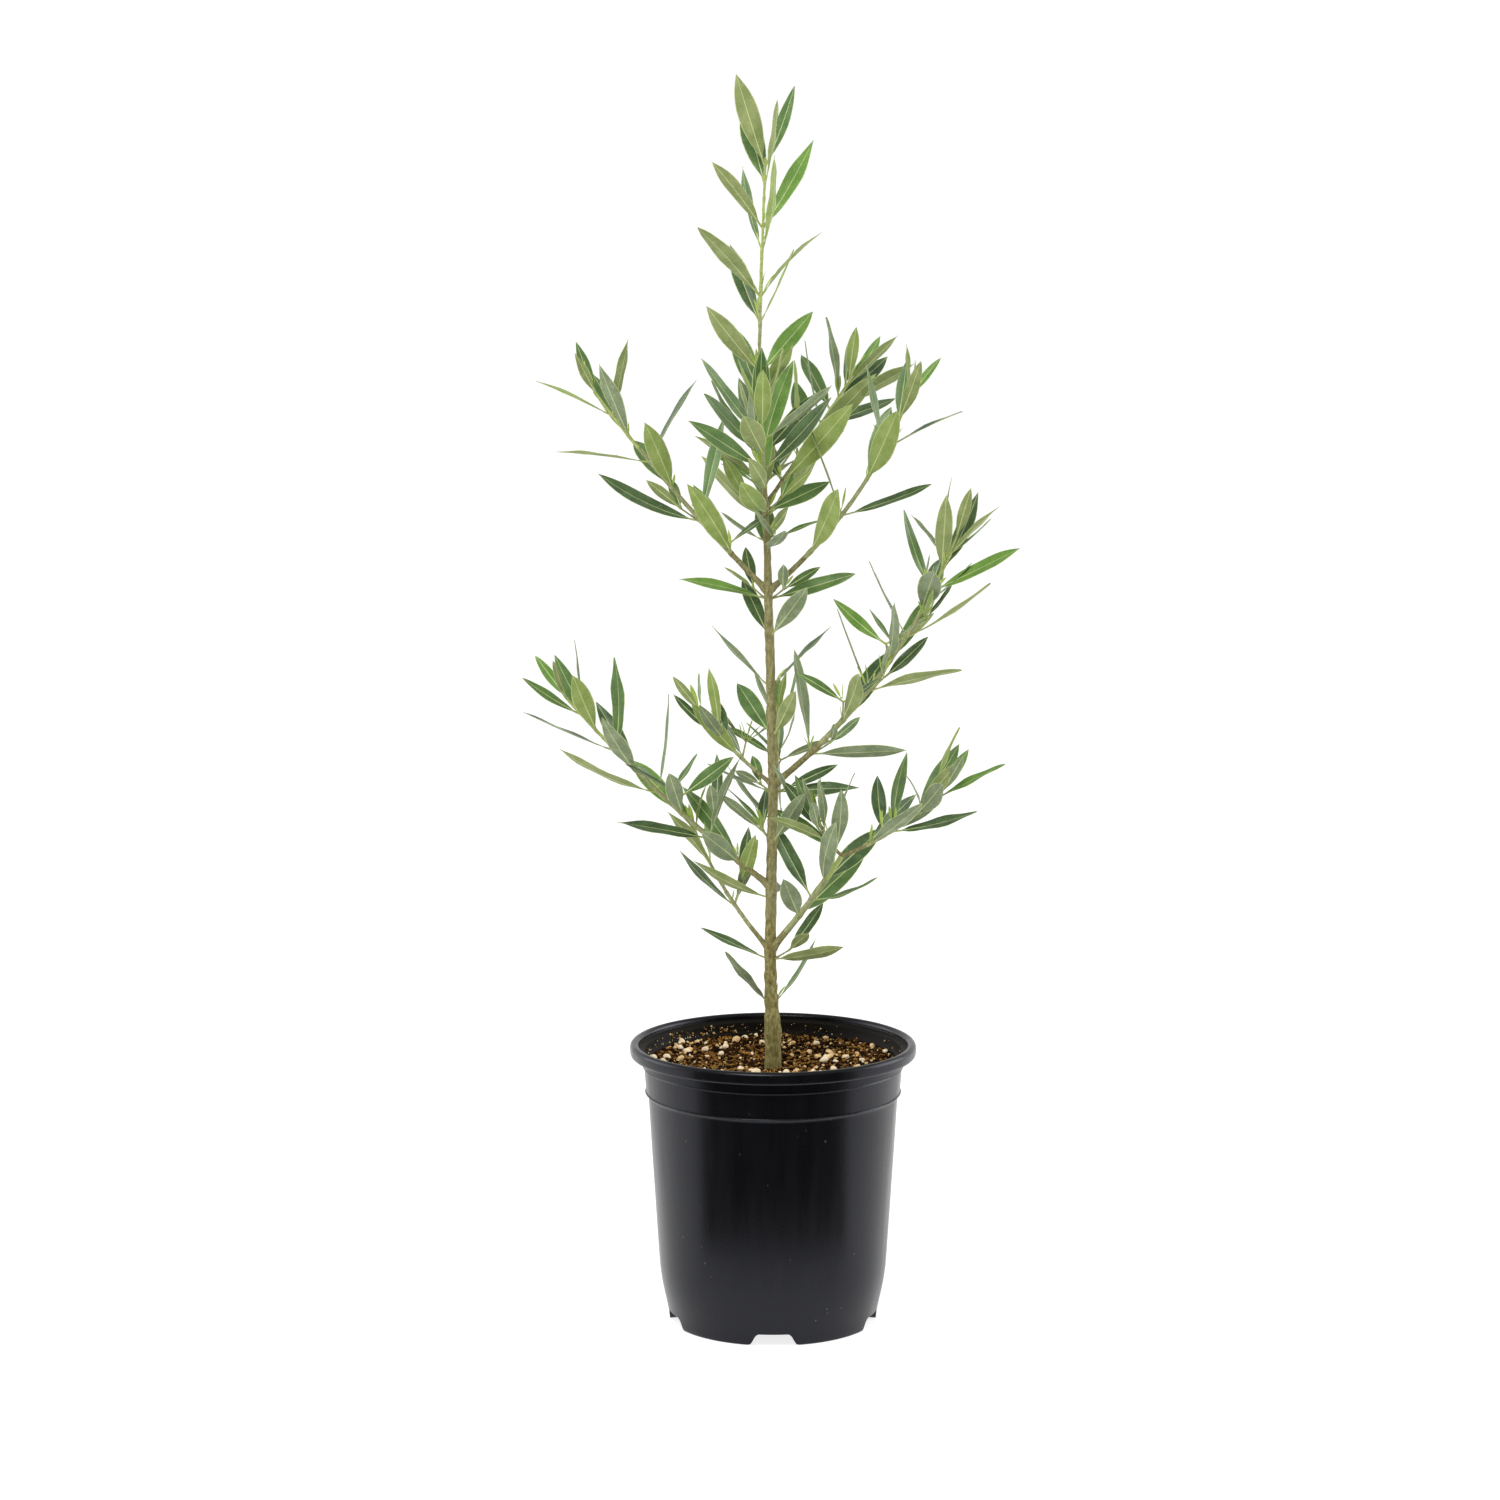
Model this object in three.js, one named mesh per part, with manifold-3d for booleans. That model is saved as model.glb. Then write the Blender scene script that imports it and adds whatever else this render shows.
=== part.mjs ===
// A young olive tree with one leader, growing in a black nursery pot.
// Millimetres, +Z up. The origin is on the ground, under the middle of the plant.
import * as THREE from 'three';
import { mergeVertices } from 'three/addons/utils/BufferGeometryUtils.js';
import Module from 'manifold-3d';

const wasm = await Module();
wasm.setup();

// Pot, one gallon size
const POT_HEIGHT = 163.5;
const POT_RIM_RADIUS = 82.5;
const POT_WALL = 1.5;
const POT_SEGMENTS = 30;
const ROLL_STEPS = 4;
const RIM_ROLL = 7.3;            // height of the turned-down lip
const RIM_WIDTH = 5.2;           // width of the roll seen from above
const LIP_WALL = 1.3;
const LIP_SEAT = 159.8;          // the hollow of the roll ends here
const NECK_RADIUS = 75.4;        // wall just under the roll
const NECK_BOTTOM = 150;
const BAND_RADIUS = 74.4;        // smooth band under the neck, at its top and at its foot
const BAND_FOOT_RADIUS = 73.3;
const BAND_BOTTOM = 134.6;       // height of the step under the smooth band
// Outer face of the wall under the step, as radius and height: it draws in toward the foot
const WALL = [[60, 0.8], [60.9, 7], [64.3, 22], [65.9, 36.5], [72, 132.6]];
const CLEFT_COUNT = 5;           // drainage clefts round the foot
const CLEFT_HEIGHT = 7;
const CLEFT_TOP_WIDTH = 17;
const CLEFT_BOTTOM_WIDTH = 29;
const CLEFT_SKIRT = 0.5;         // a cleft is upright this far up, then narrows
const RECESS_RADIUS = 40;        // raised middle of the underside, level with the cleft roofs
const RECESS_SLOPE = 3;
const FOOT_EDGE = 0.8;
const STEP_DROP = 2;             // the step under the band, and the flare of the neck
const RIDGE = 0.3;               // thin raised line on the step
const BEYOND = 1;                // cutters reach this far past what they cut

// Potting mix, which lies higher against the pot than round the trunk
const SOIL_LEVEL = 149;
// Surface of the mix: radius and rise above the middle
const SOIL_SURFACE = [[POT_RIM_RADIUS, 3.6], [58, 3.4], [38, 1.8], [20, 0.4], [8, 0], [0, 0]];

// Clearance between neighbouring solids
const GAP = 0.3;
const ROOM = 0.35;               // margin round a faceted limb that keeps the gap at its flats
const TWIG_ROOM = 0.4;           // the same round a five-sided twig

// Trunk: height, x, y and diameter, from the soil to the tip of the leader
const TRUNK = [
  [149.3, 0, 0, 9.8], [153, 0, 0, 9.4], [164, 0, 0, 9.3], [170, 0, 0, 10.3], [178, -0.5, 0, 8.2],
  [190, -1.2, 0.3, 7.0], [217, -1.7, 0.8, 6.5], [315, 0, 1.6, 5.7], [367, -1.3, 1.8, 5.4],
  [425, -3, 2, 4.8], [445, -3.4, 2, 4.0], [490, -5.2, 2, 2.6], [565, -8, 2, 2.0],
  [605, -7, 2, 1.8], [668, -4.6, 2, 1.4],
];
const TRUNK_SIDES = 6;

// Leaf pairs up the trunk stand in couples, further apart the lower they are.
// The older couples cross the other way round from those of the leader.
const TOP_PAIR_HEIGHT = 663.5;
const COUPLES = 10;
const LEADER_COUPLES = 5;
const COUPLE_STEP = 34.5;
const COUPLE_GROWTH = 1.9;
const TIGHT_COUPLES = 4;
const TIGHT_GAP = 10;
const TIGHT_GAP_GROWTH = 2;
const WIDE_GAP = 29;
const COLLAR_HEIGHT = 2.4;
const COLLAR_WALL = 1.1;
const COLLAR_SEAT = Math.cos(Math.PI / 6);   // a leaf is rooted between the flats of the collar
const AXIL_DROP = 4;             // a leaf sits this far under the shoot of its axil
const AXIL_REACH = 4;            // a shoot this near in height belongs to the pair
const TRUNK_PAIR = { seed: 949, turn: 34, spread: 28, slope: 0.13, axil: 28, leaf: 54 };
const SPREAD_DEPTH = 170;        // the spread stops growing this far below the top
const LEAF_LOSS = 0.02;          // leaves shorten by this share of the depth

// Leaf blade
const SLENDERNESS = 4.1;
const LEAF_THICKNESS = 0.8;
const STALK_HALF_WIDTH = 0.6;
const LEAF_FOLD = 0.1;
const LEAF_BEND = 2.4;            // rise of the tip for each unit of arch
// Place along the leaf and half width as a share of the widest
const LEAF_STATIONS = [[0, 0], [0.34, 0.92], [0.68, 0.84]];

// Growth rule of a shoot
const LIFT = 0.45;               // how far a pair turns from its stem toward the vertical
const TIP_SIZES = [0.55, 0.76, 0.92, 1];
const TIP_SPREADS = [20, 31, 40, 46];
const LEAST_INTERNODE = 7;
const END_REACH = 0.5;           // a pair may stand this far past the tip
const END_CLEAR = 3;             // the tip gets a pair of its own if none stands this near
const SPIN = 14;                 // degrees either way, for each pair
// How far leaves differ, either way: spread, azimuth and twist in degrees, size and arch as shares.
// The last number is the middle of the arch.
const SHOOT_HABIT = { spread: 8, twist: 50, size: 0.12, archSpan: 0.09, arch: 0.03 };
const TRUNK_HABIT = { spread: 7, azimuth: 10, twist: 60, size: 0.1, archSpan: 0.09, arch: 0.02 };
const TOP_PAIR_SIZE = 0.9;
const SWINGS = [0, 20, -20, 40, -40];
const BARE_END = 6;              // a limb ends this far before its first pair
const PATH_STEP = 3;
const LIMB_STEP = 13;
const LIMB_SIDES = 6;
const TWIG_SIDES = 5;

// Shoots: height on the trunk, azimuth and tilt from the vertical at foot and tip in degrees,
// length, place of the first pair, each internode's ratio to the last, whether the first pair
// stands in the shoot's upright plane (1) or across it (0), leaf length, diameters and seed.
const SHOOTS = {
  upper_left: {
    height: 424, azimuth: [180, 178], tilt: [45, 37], length: 150, first: 30, ratio: 0.88,
    upright: 0, leaf: 55, thick: [3.4, 1.5], seed: 852,
  },
  upper_right: {
    height: 424, azimuth: [0, 2], tilt: [50, 21], length: 140, first: 33, ratio: 0.85,
    upright: 0, leaf: 56, thick: [3.3, 1.5], seed: 90,
  },
  front: {
    height: 473, azimuth: [-92, -95], tilt: [49, 22], length: 76, first: 17, ratio: 0.82,
    upright: 1, leaf: 53, thick: [2.4, 1.5], seed: 988,
  },
  inner_right: {
    height: 473, azimuth: [50, 42], tilt: [49, 43], length: 98, first: 20, ratio: 0.86,
    upright: 0, leaf: 54, thick: [2.6, 1.5], seed: 185,
  },
  upper_back: {
    height: 453, azimuth: [95, 95], tilt: [55, 24], length: 86, first: 19, ratio: 0.79,
    upright: 0, leaf: 51, thick: [2.5, 1.5], seed: 522,
  },
  middle_right: {
    height: 313, azimuth: [-15, -12], tilt: [51, 21], length: 183, first: 30, ratio: 0.88,
    upright: 1, leaf: 52, thick: [3.8, 1.5], seed: 544,
  },
  middle_left: {
    height: 313, azimuth: [145, 145], tilt: [62, 43], length: 66, first: 26, ratio: 0.82,
    upright: 0, leaf: 45, thick: [2.4, 1.5], seed: 122,
  },
  lower_left: {
    height: 254, azimuth: [195, 190], tilt: [52, 41], length: 164, first: 25, ratio: 0.92,
    upright: 0, leaf: 53, thick: [3.7, 1.5], seed: 282,
  },
  lower_back: {
    height: 254, azimuth: [85, 85], tilt: [38, 20], length: 107, first: 41, ratio: 0.82,
    upright: 0, leaf: 44, thick: [2.8, 1.5], seed: 259,
  },
  lowest_left: {
    height: 217, azimuth: [160, 160], tilt: [45, 24], length: 82, first: 34, ratio: 0.83,
    upright: 1, leaf: 50, thick: [2.8, 1.5], seed: 685,
  },
  lowest_right: {
    height: 217, azimuth: [-20, -20], tilt: [41, 33], length: 72, pairs: [28, 41, 54],
    spread: 55, leaf: 50, thick: [4.2, 2.8], seed: 12,
  },
};

// Twigs that go on from the end of a forked shoot, which bears its own pairs as collars
const FORKS = {
  lowest_right_outer: {
    from: 'lowest_right', azimuth: [-2, -10], tilt: [69, 44], length: 68, first: 17, ratio: 0.96,
    upright: 0, leaf: 52, thick: [2.2, 1.5], seed: 414,
  },
  lowest_right_inner: {
    from: 'lowest_right', azimuth: [-153, -150], tilt: [48, 18], length: 30, first: 6, ratio: 0.88,
    upright: 0, leaf: 48, thick: [1.9, 1.5], seed: 519,
  },
};

// The generator of Park and Miller: the same seed always grows the same plant
class Chance {
  constructor(seed) {
    this.state = seed * 7919 + 17;
    for (let i = 0; i < 3; i += 1) this.next();
  }

  next() {
    this.state = (this.state * 16807) % 2147483647;
    return this.state / 2147483647;
  }

  around(spread) {
    return (this.next() * 2 - 1) * spread;
  }
}

const UP = new THREE.Vector3(0, 0, 1);
const radians = THREE.MathUtils.degToRad;
const mix = THREE.MathUtils.lerp;

// Unit vector at an azimuth, tilted from the vertical, both in degrees
function aim(azimuth, tilt) {
  const flat = Math.sin(radians(tilt));
  return new THREE.Vector3(
    flat * Math.cos(radians(azimuth)),
    flat * Math.sin(radians(azimuth)),
    Math.cos(radians(tilt)),
  );
}

// Part of a vector square to a unit axis, at unit length
function squareTo(vector, axis) {
  return vector.clone().addScaledVector(axis, -vector.dot(axis)).normalize();
}

// Solid made of rings of equal count joined in order, closed with a flat fan at either end.
// The last ring may be one point. Rings run anticlockwise seen from the far end.
function loft(rings) {
  const count = rings[0].length;
  const points = rings.flat();
  const faces = [];
  const last = rings.length - 1;
  const pointed = rings[last].length === 1;
  for (let i = 0; i < last; i += 1) {
    for (let j = 0; j < count; j += 1) {
      const k = (j + 1) % count;
      const a = i * count + j;
      const b = i * count + k;
      if (i === last - 1 && pointed) {
        faces.push(a, b, last * count);
      } else {
        faces.push(a, b, b + count, a, b + count, a + count);
      }
    }
  }
  for (let j = 1; j < count - 1; j += 1) {
    faces.push(0, j + 1, j);
    if (!pointed) faces.push(last * count, last * count + j, last * count + j + 1);
  }
  const geometry = new THREE.BufferGeometry().setFromPoints(points);
  geometry.setIndex(faces);
  return solidOf(geometry);
}

// Manifold solid of a closed geometry
function solidOf(geometry) {
  geometry.deleteAttribute('normal');
  geometry.deleteAttribute('uv');
  const welded = mergeVertices(geometry, 1e-4);
  const index = welded.index.array;
  const faces = [];
  for (let i = 0; i < index.length; i += 3) {
    const [a, b, c] = [index[i], index[i + 1], index[i + 2]];
    if (a !== b && b !== c && c !== a) faces.push(a, b, c);
  }
  return new wasm.Manifold(new wasm.Mesh({
    numProp: 3,
    vertProperties: Float32Array.from(welded.attributes.position.array),
    triVerts: Uint32Array.from(faces),
  }));
}

function geometryOf(solid) {
  const mesh = solid.getMesh();
  const geometry = new THREE.BufferGeometry();
  geometry.setAttribute('position', new THREE.BufferAttribute(mesh.vertProperties, 3));
  geometry.setIndex(new THREE.BufferAttribute(mesh.triVerts, 1));
  geometry.computeVertexNormals();
  return geometry;
}

// Limb round a path, its frame carried along without twist
function limb(points, radii, sides) {
  const tangents = points.map((p, i) => {
    const from = points[Math.max(i - 1, 0)];
    const to = points[Math.min(i + 1, points.length - 1)];
    return to.clone().sub(from).normalize();
  });
  const start = Math.abs(tangents[0].x) < 0.9 ? new THREE.Vector3(1, 0, 0) : new THREE.Vector3(0, 1, 0);
  let across = squareTo(start, tangents[0]);
  const rings = points.map((p, i) => {
    across = squareTo(across, tangents[i]);
    const other = tangents[i].clone().cross(across);
    return Array.from({ length: sides }, (_, j) => {
      const angle = (2 * Math.PI * j) / sides;
      return p.clone()
        .addScaledVector(across, radii[i] * Math.cos(angle))
        .addScaledVector(other, radii[i] * Math.sin(angle));
    });
  });
  return loft(rings);
}

// Solid of revolution about the vertical, from a profile of [radius, height] pairs
function turned(profile) {
  const points = profile.map(([r, z]) => new THREE.Vector2(r, z));
  const geometry = new THREE.LatheGeometry(points, POT_SEGMENTS);
  geometry.rotateX(Math.PI / 2);
  return solidOf(geometry);
}

// Drainage cleft that runs in from the foot of the wall, grown by a margin
function cleft(turn, margin) {
  const top = CLEFT_TOP_WIDTH / 2 + margin;
  const bottom = CLEFT_BOTTOM_WIDTH / 2 + margin;
  const shape = new THREE.Shape([
    new THREE.Vector2(-bottom, -BEYOND), new THREE.Vector2(bottom, -BEYOND),
    new THREE.Vector2(bottom, CLEFT_SKIRT), new THREE.Vector2(top, CLEFT_HEIGHT + margin),
    new THREE.Vector2(-top, CLEFT_HEIGHT + margin), new THREE.Vector2(-bottom, CLEFT_SKIRT),
  ]);
  const start = RECESS_RADIUS + BEYOND - margin;
  const geometry = new THREE.ExtrudeGeometry(shape, { depth: POT_RIM_RADIUS - start, bevelEnabled: false });
  geometry.translate(0, 0, start);
  geometry.rotateX(Math.PI / 2);
  geometry.rotateZ(turn);
  return solidOf(geometry);
}

function clefts(margin) {
  let all = cleft(0, margin);
  for (let i = 1; i < CLEFT_COUNT; i += 1) {
    all = all.add(cleft((2 * Math.PI * i) / CLEFT_COUNT, margin));
  }
  return all;
}

// Inside of the pot, drawn in from the plastic by a margin
function hollow(margin) {
  const inset = POT_WALL + margin;
  const [foot, ...wall] = WALL.map(([radius, z]) => [radius - inset, z]);
  const neck = NECK_RADIUS - inset;
  const mouth = POT_RIM_RADIUS - RIM_WIDTH - margin;
  return turned([
    [0, CLEFT_HEIGHT + inset], [RECESS_RADIUS + inset, CLEFT_HEIGHT + inset],
    [RECESS_RADIUS + RECESS_SLOPE + inset, inset], [foot[0], inset], ...wall,
    [BAND_RADIUS - inset, NECK_BOTTOM], [neck, NECK_BOTTOM + STEP_DROP], [neck, LIP_SEAT - RIDGE],
    [mouth, LIP_SEAT + STEP_DROP], [mouth, POT_HEIGHT + BEYOND], [0, POT_HEIGHT + BEYOND],
  ]);
}

function pot() {
  const roll = RIM_WIDTH / 2;
  const lip = POT_RIM_RADIUS - LIP_WALL;
  const outer = [
    [0, CLEFT_HEIGHT], [RECESS_RADIUS, CLEFT_HEIGHT], [RECESS_RADIUS + RECESS_SLOPE, 0],
    [WALL[0][0] - FOOT_EDGE, 0], ...WALL, [BAND_FOOT_RADIUS, BAND_BOTTOM - RIDGE],
    [BAND_FOOT_RADIUS + RIDGE, BAND_BOTTOM + RIDGE], [BAND_FOOT_RADIUS, BAND_BOTTOM + STEP_DROP],
    [BAND_RADIUS, NECK_BOTTOM - RIDGE], [NECK_RADIUS, NECK_BOTTOM + STEP_DROP],
    [NECK_RADIUS, LIP_SEAT], [lip, LIP_SEAT], [lip, POT_HEIGHT - RIM_ROLL],
    [POT_RIM_RADIUS, POT_HEIGHT - RIM_ROLL],
  ];
  for (let i = 0; i <= ROLL_STEPS; i += 1) {
    const angle = (Math.PI * i) / ROLL_STEPS;
    outer.push([
      POT_RIM_RADIUS - roll + roll * Math.cos(angle),
      POT_HEIGHT - roll + roll * Math.sin(angle),
    ]);
  }
  outer.push([0, POT_HEIGHT - roll]);
  const body = turned(outer);
  const shell = body.subtract(hollow(0));
  const roofs = clefts(POT_WALL).intersect(body);
  return shell.add(roofs).subtract(clefts(0));
}

function soil() {
  const surface = SOIL_SURFACE.map(([radius, rise]) => [radius, SOIL_LEVEL + rise]);
  const dish = turned([[0, 0], [POT_RIM_RADIUS, 0], ...surface]);
  return hollow(GAP).intersect(dish).subtract(clefts(POT_WALL + GAP));
}

// Axis and diameter of the trunk at a height
function trunkAt(z) {
  let i = 1;
  while (i < TRUNK.length - 1 && TRUNK[i][0] < z) i += 1;
  const [below, above] = [TRUNK[i - 1], TRUNK[i]];
  const u = (z - below[0]) / (above[0] - below[0]);
  const [x, y, thick] = [1, 2, 3].map((k) => mix(below[k], above[k], u));
  return { point: new THREE.Vector3(x, y, z), radius: thick / 2 };
}

// Trunk as one limb, or the room it takes with a margin round it
function trunk(margin = 0) {
  const rows = TRUNK.map(([z]) => trunkAt(z));
  const points = rows.map((row) => row.point);
  points[0].z -= margin;
  points[points.length - 1].z += margin;
  return limb(points, rows.map((row) => row.radius + margin), TRUNK_SIDES);
}

// Path of a shoot in even steps
function shootPath(start, spec) {
  const count = Math.round(spec.length / PATH_STEP);
  const points = [start.clone()];
  for (let i = 0; i < count; i += 1) {
    const u = (i + 0.5) / count;
    const way = aim(mix(...spec.azimuth, u), mix(...spec.tilt, u));
    points.push(points[i].clone().addScaledVector(way, spec.length / count));
  }
  return points;
}

// Place and direction at a distance along a path of even steps
function along(points, length, distance) {
  const step = length / (points.length - 1);
  const i = Math.min(Math.floor(Math.max(distance, 0) / step), points.length - 2);
  const u = distance / step - i;
  return {
    point: points[i].clone().lerp(points[i + 1], u),
    way: points[i + 1].clone().sub(points[i]).normalize(),
  };
}

// Limb along a stretch of a shoot's path
function shootLimb(points, spec, from, to, sides, margin = 0) {
  const count = Math.max(1, Math.round((to - from) / LIMB_STEP));
  const places = Array.from({ length: count + 1 }, (_, i) => mix(from, to, i / count));
  const radii = places.map((s) => mix(...spec.thick, s / spec.length) / 2 + margin);
  return limb(places.map((s) => along(points, spec.length, s).point), radii, sides);
}

// Distances of a shoot's leaf pairs from its foot
function pairPlaces(spec) {
  const places = [];
  let gap = spec.first;
  for (let s = spec.first; s < spec.length + END_REACH; s += gap) {
    places.push(s);
    gap = Math.max(gap * spec.ratio, LEAST_INTERNODE);
  }
  if (spec.length - places[places.length - 1] > END_CLEAR) places.push(spec.length);
  return places;
}

// Distance of a leaf's root from the axis of the limb inside its collar
function collarSeat(radius) {
  return (radius + GAP + COLLAR_WALL / 2) * COLLAR_SEAT;
}

// Leaf as numbers: node on the stem, root off the stem's axis, direction, upper side, length and arch
function leafOf(chance, node, root, way, axis, size, habit) {
  const face = squareTo(axis, way).applyAxisAngle(way, radians(chance.around(habit.twist)));
  const length = size * (1 + chance.around(habit.size));
  return { node, root, way, face, length, arch: habit.arch + chance.around(habit.archSpan) };
}

// Two opposite leaves
function pair(chance, point, stem, side, spread, length, reach = 0) {
  const axis = stem.clone().addScaledVector(UP, LIFT).normalize();
  const spun = side.clone().applyAxisAngle(stem, radians(chance.around(SPIN)));
  return [1, -1].map((sign) => {
    const angle = radians(spread + chance.around(SHOOT_HABIT.spread));
    const out = squareTo(spun.clone().multiplyScalar(sign), axis);
    const way = axis.clone().multiplyScalar(Math.cos(angle)).addScaledVector(out, Math.sin(angle));
    const root = squareTo(out, stem).multiplyScalar(reach);
    const leaf = leafOf(chance, point, root, way.normalize(), axis, length, SHOOT_HABIT);
    return { ...leaf, stem };
  });
}

// All leaves of a shoot: each pair crosses the one before it, and the last ones are small
function shootLeaves(spec, points) {
  const chance = new Chance(spec.seed);
  const places = pairPlaces(spec);
  return places.flatMap((s, k) => {
    const { point, way } = along(points, spec.length, s);
    const across = way.clone().cross(UP).normalize();
    const crosswise = (k + spec.upright) % 2 === 0;
    const side = crosswise ? across : across.clone().cross(way).normalize();
    const rank = Math.min(places.length - 1 - k, TIP_SIZES.length - 1);
    return pair(chance, point, way, side, TIP_SPREADS[rank], spec.leaf * TIP_SIZES[rank]);
  });
}

// Leaf pairs of the trunk, each with the azimuths of its two leaves
function trunkPairs() {
  const chance = new Chance(TRUNK_PAIR.seed);
  const shoots = Object.values(SHOOTS);
  const pairs = [];
  for (let c = 0; c < COUPLES; c += 1) {
    const top = TOP_PAIR_HEIGHT - COUPLE_STEP * c - COUPLE_GROWTH * c * (c - 1);
    const gap = c < TIGHT_COUPLES ? TIGHT_GAP + TIGHT_GAP_GROWTH * c : WIDE_GAP;
    [top, top - gap].forEach((height, second) => {
      const here = shoots.filter((shoot) => Math.abs(shoot.height - height) < AXIL_REACH);
      const quarter = c < LEADER_COUPLES ? second : 1 - second;
      const turn = TRUNK_PAIR.turn + 90 * quarter;
      let azimuths = [turn, turn + 180];
      if (here.length === 1) azimuths = [here[0].azimuth[0], here[0].azimuth[0] + 180];
      if (here.length === 2) azimuths = here.map((shoot) => shoot.azimuth[0]);
      const { point, radius } = trunkAt(height - (here.length ? AXIL_DROP : 0));
      const drop = TOP_PAIR_HEIGHT - height;
      const opening = TRUNK_PAIR.spread + Math.min(drop, SPREAD_DEPTH) * TRUNK_PAIR.slope;
      const spread = opening + (here.length ? TRUNK_PAIR.axil : 0);
      const length = (TRUNK_PAIR.leaf - LEAF_LOSS * drop) * (c === 0 ? TOP_PAIR_SIZE : 1);
      const leaves = azimuths.map((azimuth) => {
        const angle = spread + chance.around(TRUNK_HABIT.spread);
        const way = aim(azimuth + chance.around(TRUNK_HABIT.azimuth), angle);
        const root = squareTo(way, UP).multiplyScalar(collarSeat(radius));
        return { ...leafOf(chance, point, root, way, UP, length, TRUNK_HABIT), stem: UP };
      });
      pairs.push({ point, radius, leaves, axis: UP, host: trunkSolid, room: trunkRoom });
    });
  }
  return pairs;
}

// Leaf pairs on a bough that forks further on
function boughPairs() {
  return Object.entries(SHOOTS).filter(([, spec]) => spec.pairs).flatMap(([name, spec]) => {
    const chance = new Chance(spec.seed);
    const points = shootPath(trunkAt(spec.height).point, spec);
    const room = shootLimb(points, spec, -BEYOND, spec.length + BEYOND, LIMB_SIDES, ROOM);
    return spec.pairs.map((s, k) => {
      const { point, way } = along(points, spec.length, s);
      const across = way.clone().cross(UP).normalize();
      const side = k % 2 === 0 ? across : across.clone().cross(way).normalize();
      const radius = mix(...spec.thick, s / spec.length) / 2;
      const reach = collarSeat(radius);
      const leaves = pair(chance, point, way, side, spec.spread, spec.leaf, reach);
      return { point, radius, leaves, axis: way, host: boughs[name], room };
    });
  });
}

// Blade with a keel under the midrib, grown by a margin when it only takes room
function leafSolid(leaf, margin = 0) {
  const side = leaf.face.clone().cross(leaf.way);
  const widest = leaf.length / SLENDERNESS / 2;
  const thick = LEAF_THICKNESS / 2 + margin;
  const centre = (u) => leaf.node.clone().add(leaf.root)
    .addScaledVector(leaf.way, leaf.length * u)
    .addScaledVector(leaf.face, leaf.arch * leaf.length * LEAF_BEND * u * u);
  const rings = LEAF_STATIONS.map(([u, share]) => {
    const half = Math.max(STALK_HALF_WIDTH, widest * share) + margin;
    const rise = half * LEAF_FOLD;
    const at = (x, y) => centre(u).addScaledVector(side, x).addScaledVector(leaf.face, y);
    return [at(half, rise), at(-half, rise), at(0, -thick)];
  });
  rings.push([centre(1 + margin / leaf.length)]);
  return loft(rings);
}

// True when two boxes round solids share room
function boxesMeet(a, b) {
  return [0, 1, 2].every((k) => a.min[k] < b.max[k] && b.min[k] < a.max[k]);
}

function touches(solid, others) {
  const box = solid.boundingBox();
  return others.some((other) => boxesMeet(box, other.boundingBox())
    && !solid.intersect(other).isEmpty());
}

// Leaves joined to their stem. A leaf that would touch another piece swings round its stem,
// and is skipped where no swing is free.
function dressed(stemSolid, leaves, others) {
  let mass = stemSolid;
  for (const leaf of leaves) {
    for (const swing of SWINGS) {
      const turn = radians(swing);
      const [root, way, face] = [leaf.root, leaf.way, leaf.face]
        .map((vector) => vector.clone().applyAxisAngle(leaf.stem, turn));
      const moved = { ...leaf, root, way, face };
      if (!touches(leafSolid(moved, GAP), others)) {
        mass = mass.add(leafSolid(moved));
        break;
      }
    }
  }
  return mass;
}

const COLOURS = {
  pot: { color: 0x2b2c2d, roughness: 0.5, metalness: 0 },
  soil: { color: 0x4a3325, roughness: 0.95, metalness: 0 },
  bark: { color: 0x8b7d55, roughness: 0.85, metalness: 0 },
  bough: { color: 0x8f8d5c, roughness: 0.8, metalness: 0 },
  foliage: { color: 0x6f8352, roughness: 0.6, metalness: 0 },
};

const group = new THREE.Group();

function place(name, solid, looks) {
  const mesh = new THREE.Mesh(geometryOf(solid), new THREE.MeshStandardMaterial(COLOURS[looks]));
  mesh.name = name;
  group.add(mesh);
}

place('pot', pot(), 'pot');
place('soil', soil(), 'soil');

const trunkSolid = trunk();
const trunkRoom = trunk(ROOM);
const boughs = {};
const twigs = [];
place('trunk', trunkSolid, 'bark');

// Bare limb of each shoot, from the trunk to just before its first pair
for (const [name, spec] of Object.entries(SHOOTS)) {
  const points = shootPath(trunkAt(spec.height).point, spec);
  const end = spec.pairs ? spec.length : spec.first - BARE_END;
  boughs[name] = shootLimb(points, spec, 0, end, LIMB_SIDES).subtract(trunkRoom);
  place(`bough_${name}`, boughs[name], 'bough');
  if (!spec.pairs) {
    const stem = shootLimb(points, spec, end + GAP, spec.length, TWIG_SIDES);
    twigs.push({ name, spec, points, stem });
  }
}

// Twigs of a fork, each cut clear of the bough's end and of the twigs before it
for (const [name, spec] of Object.entries(FORKS)) {
  const bough = SHOOTS[spec.from];
  const base = shootPath(trunkAt(bough.height).point, bough);
  const points = shootPath(base[base.length - 1], spec);
  let stem = shootLimb(points, spec, 0, spec.length, TWIG_SIDES);
  stem = stem.subtract(shootLimb(base, bough, 0, bough.length + GAP, LIMB_SIDES, ROOM));
  for (const other of twigs.filter((twig) => twig.spec.from === spec.from)) {
    const whole = shootLimb(other.points, other.spec, 0, other.spec.length, TWIG_SIDES, TWIG_ROOM);
    stem = stem.subtract(whole);
  }
  twigs.push({ name, spec, points, stem });
}

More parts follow.
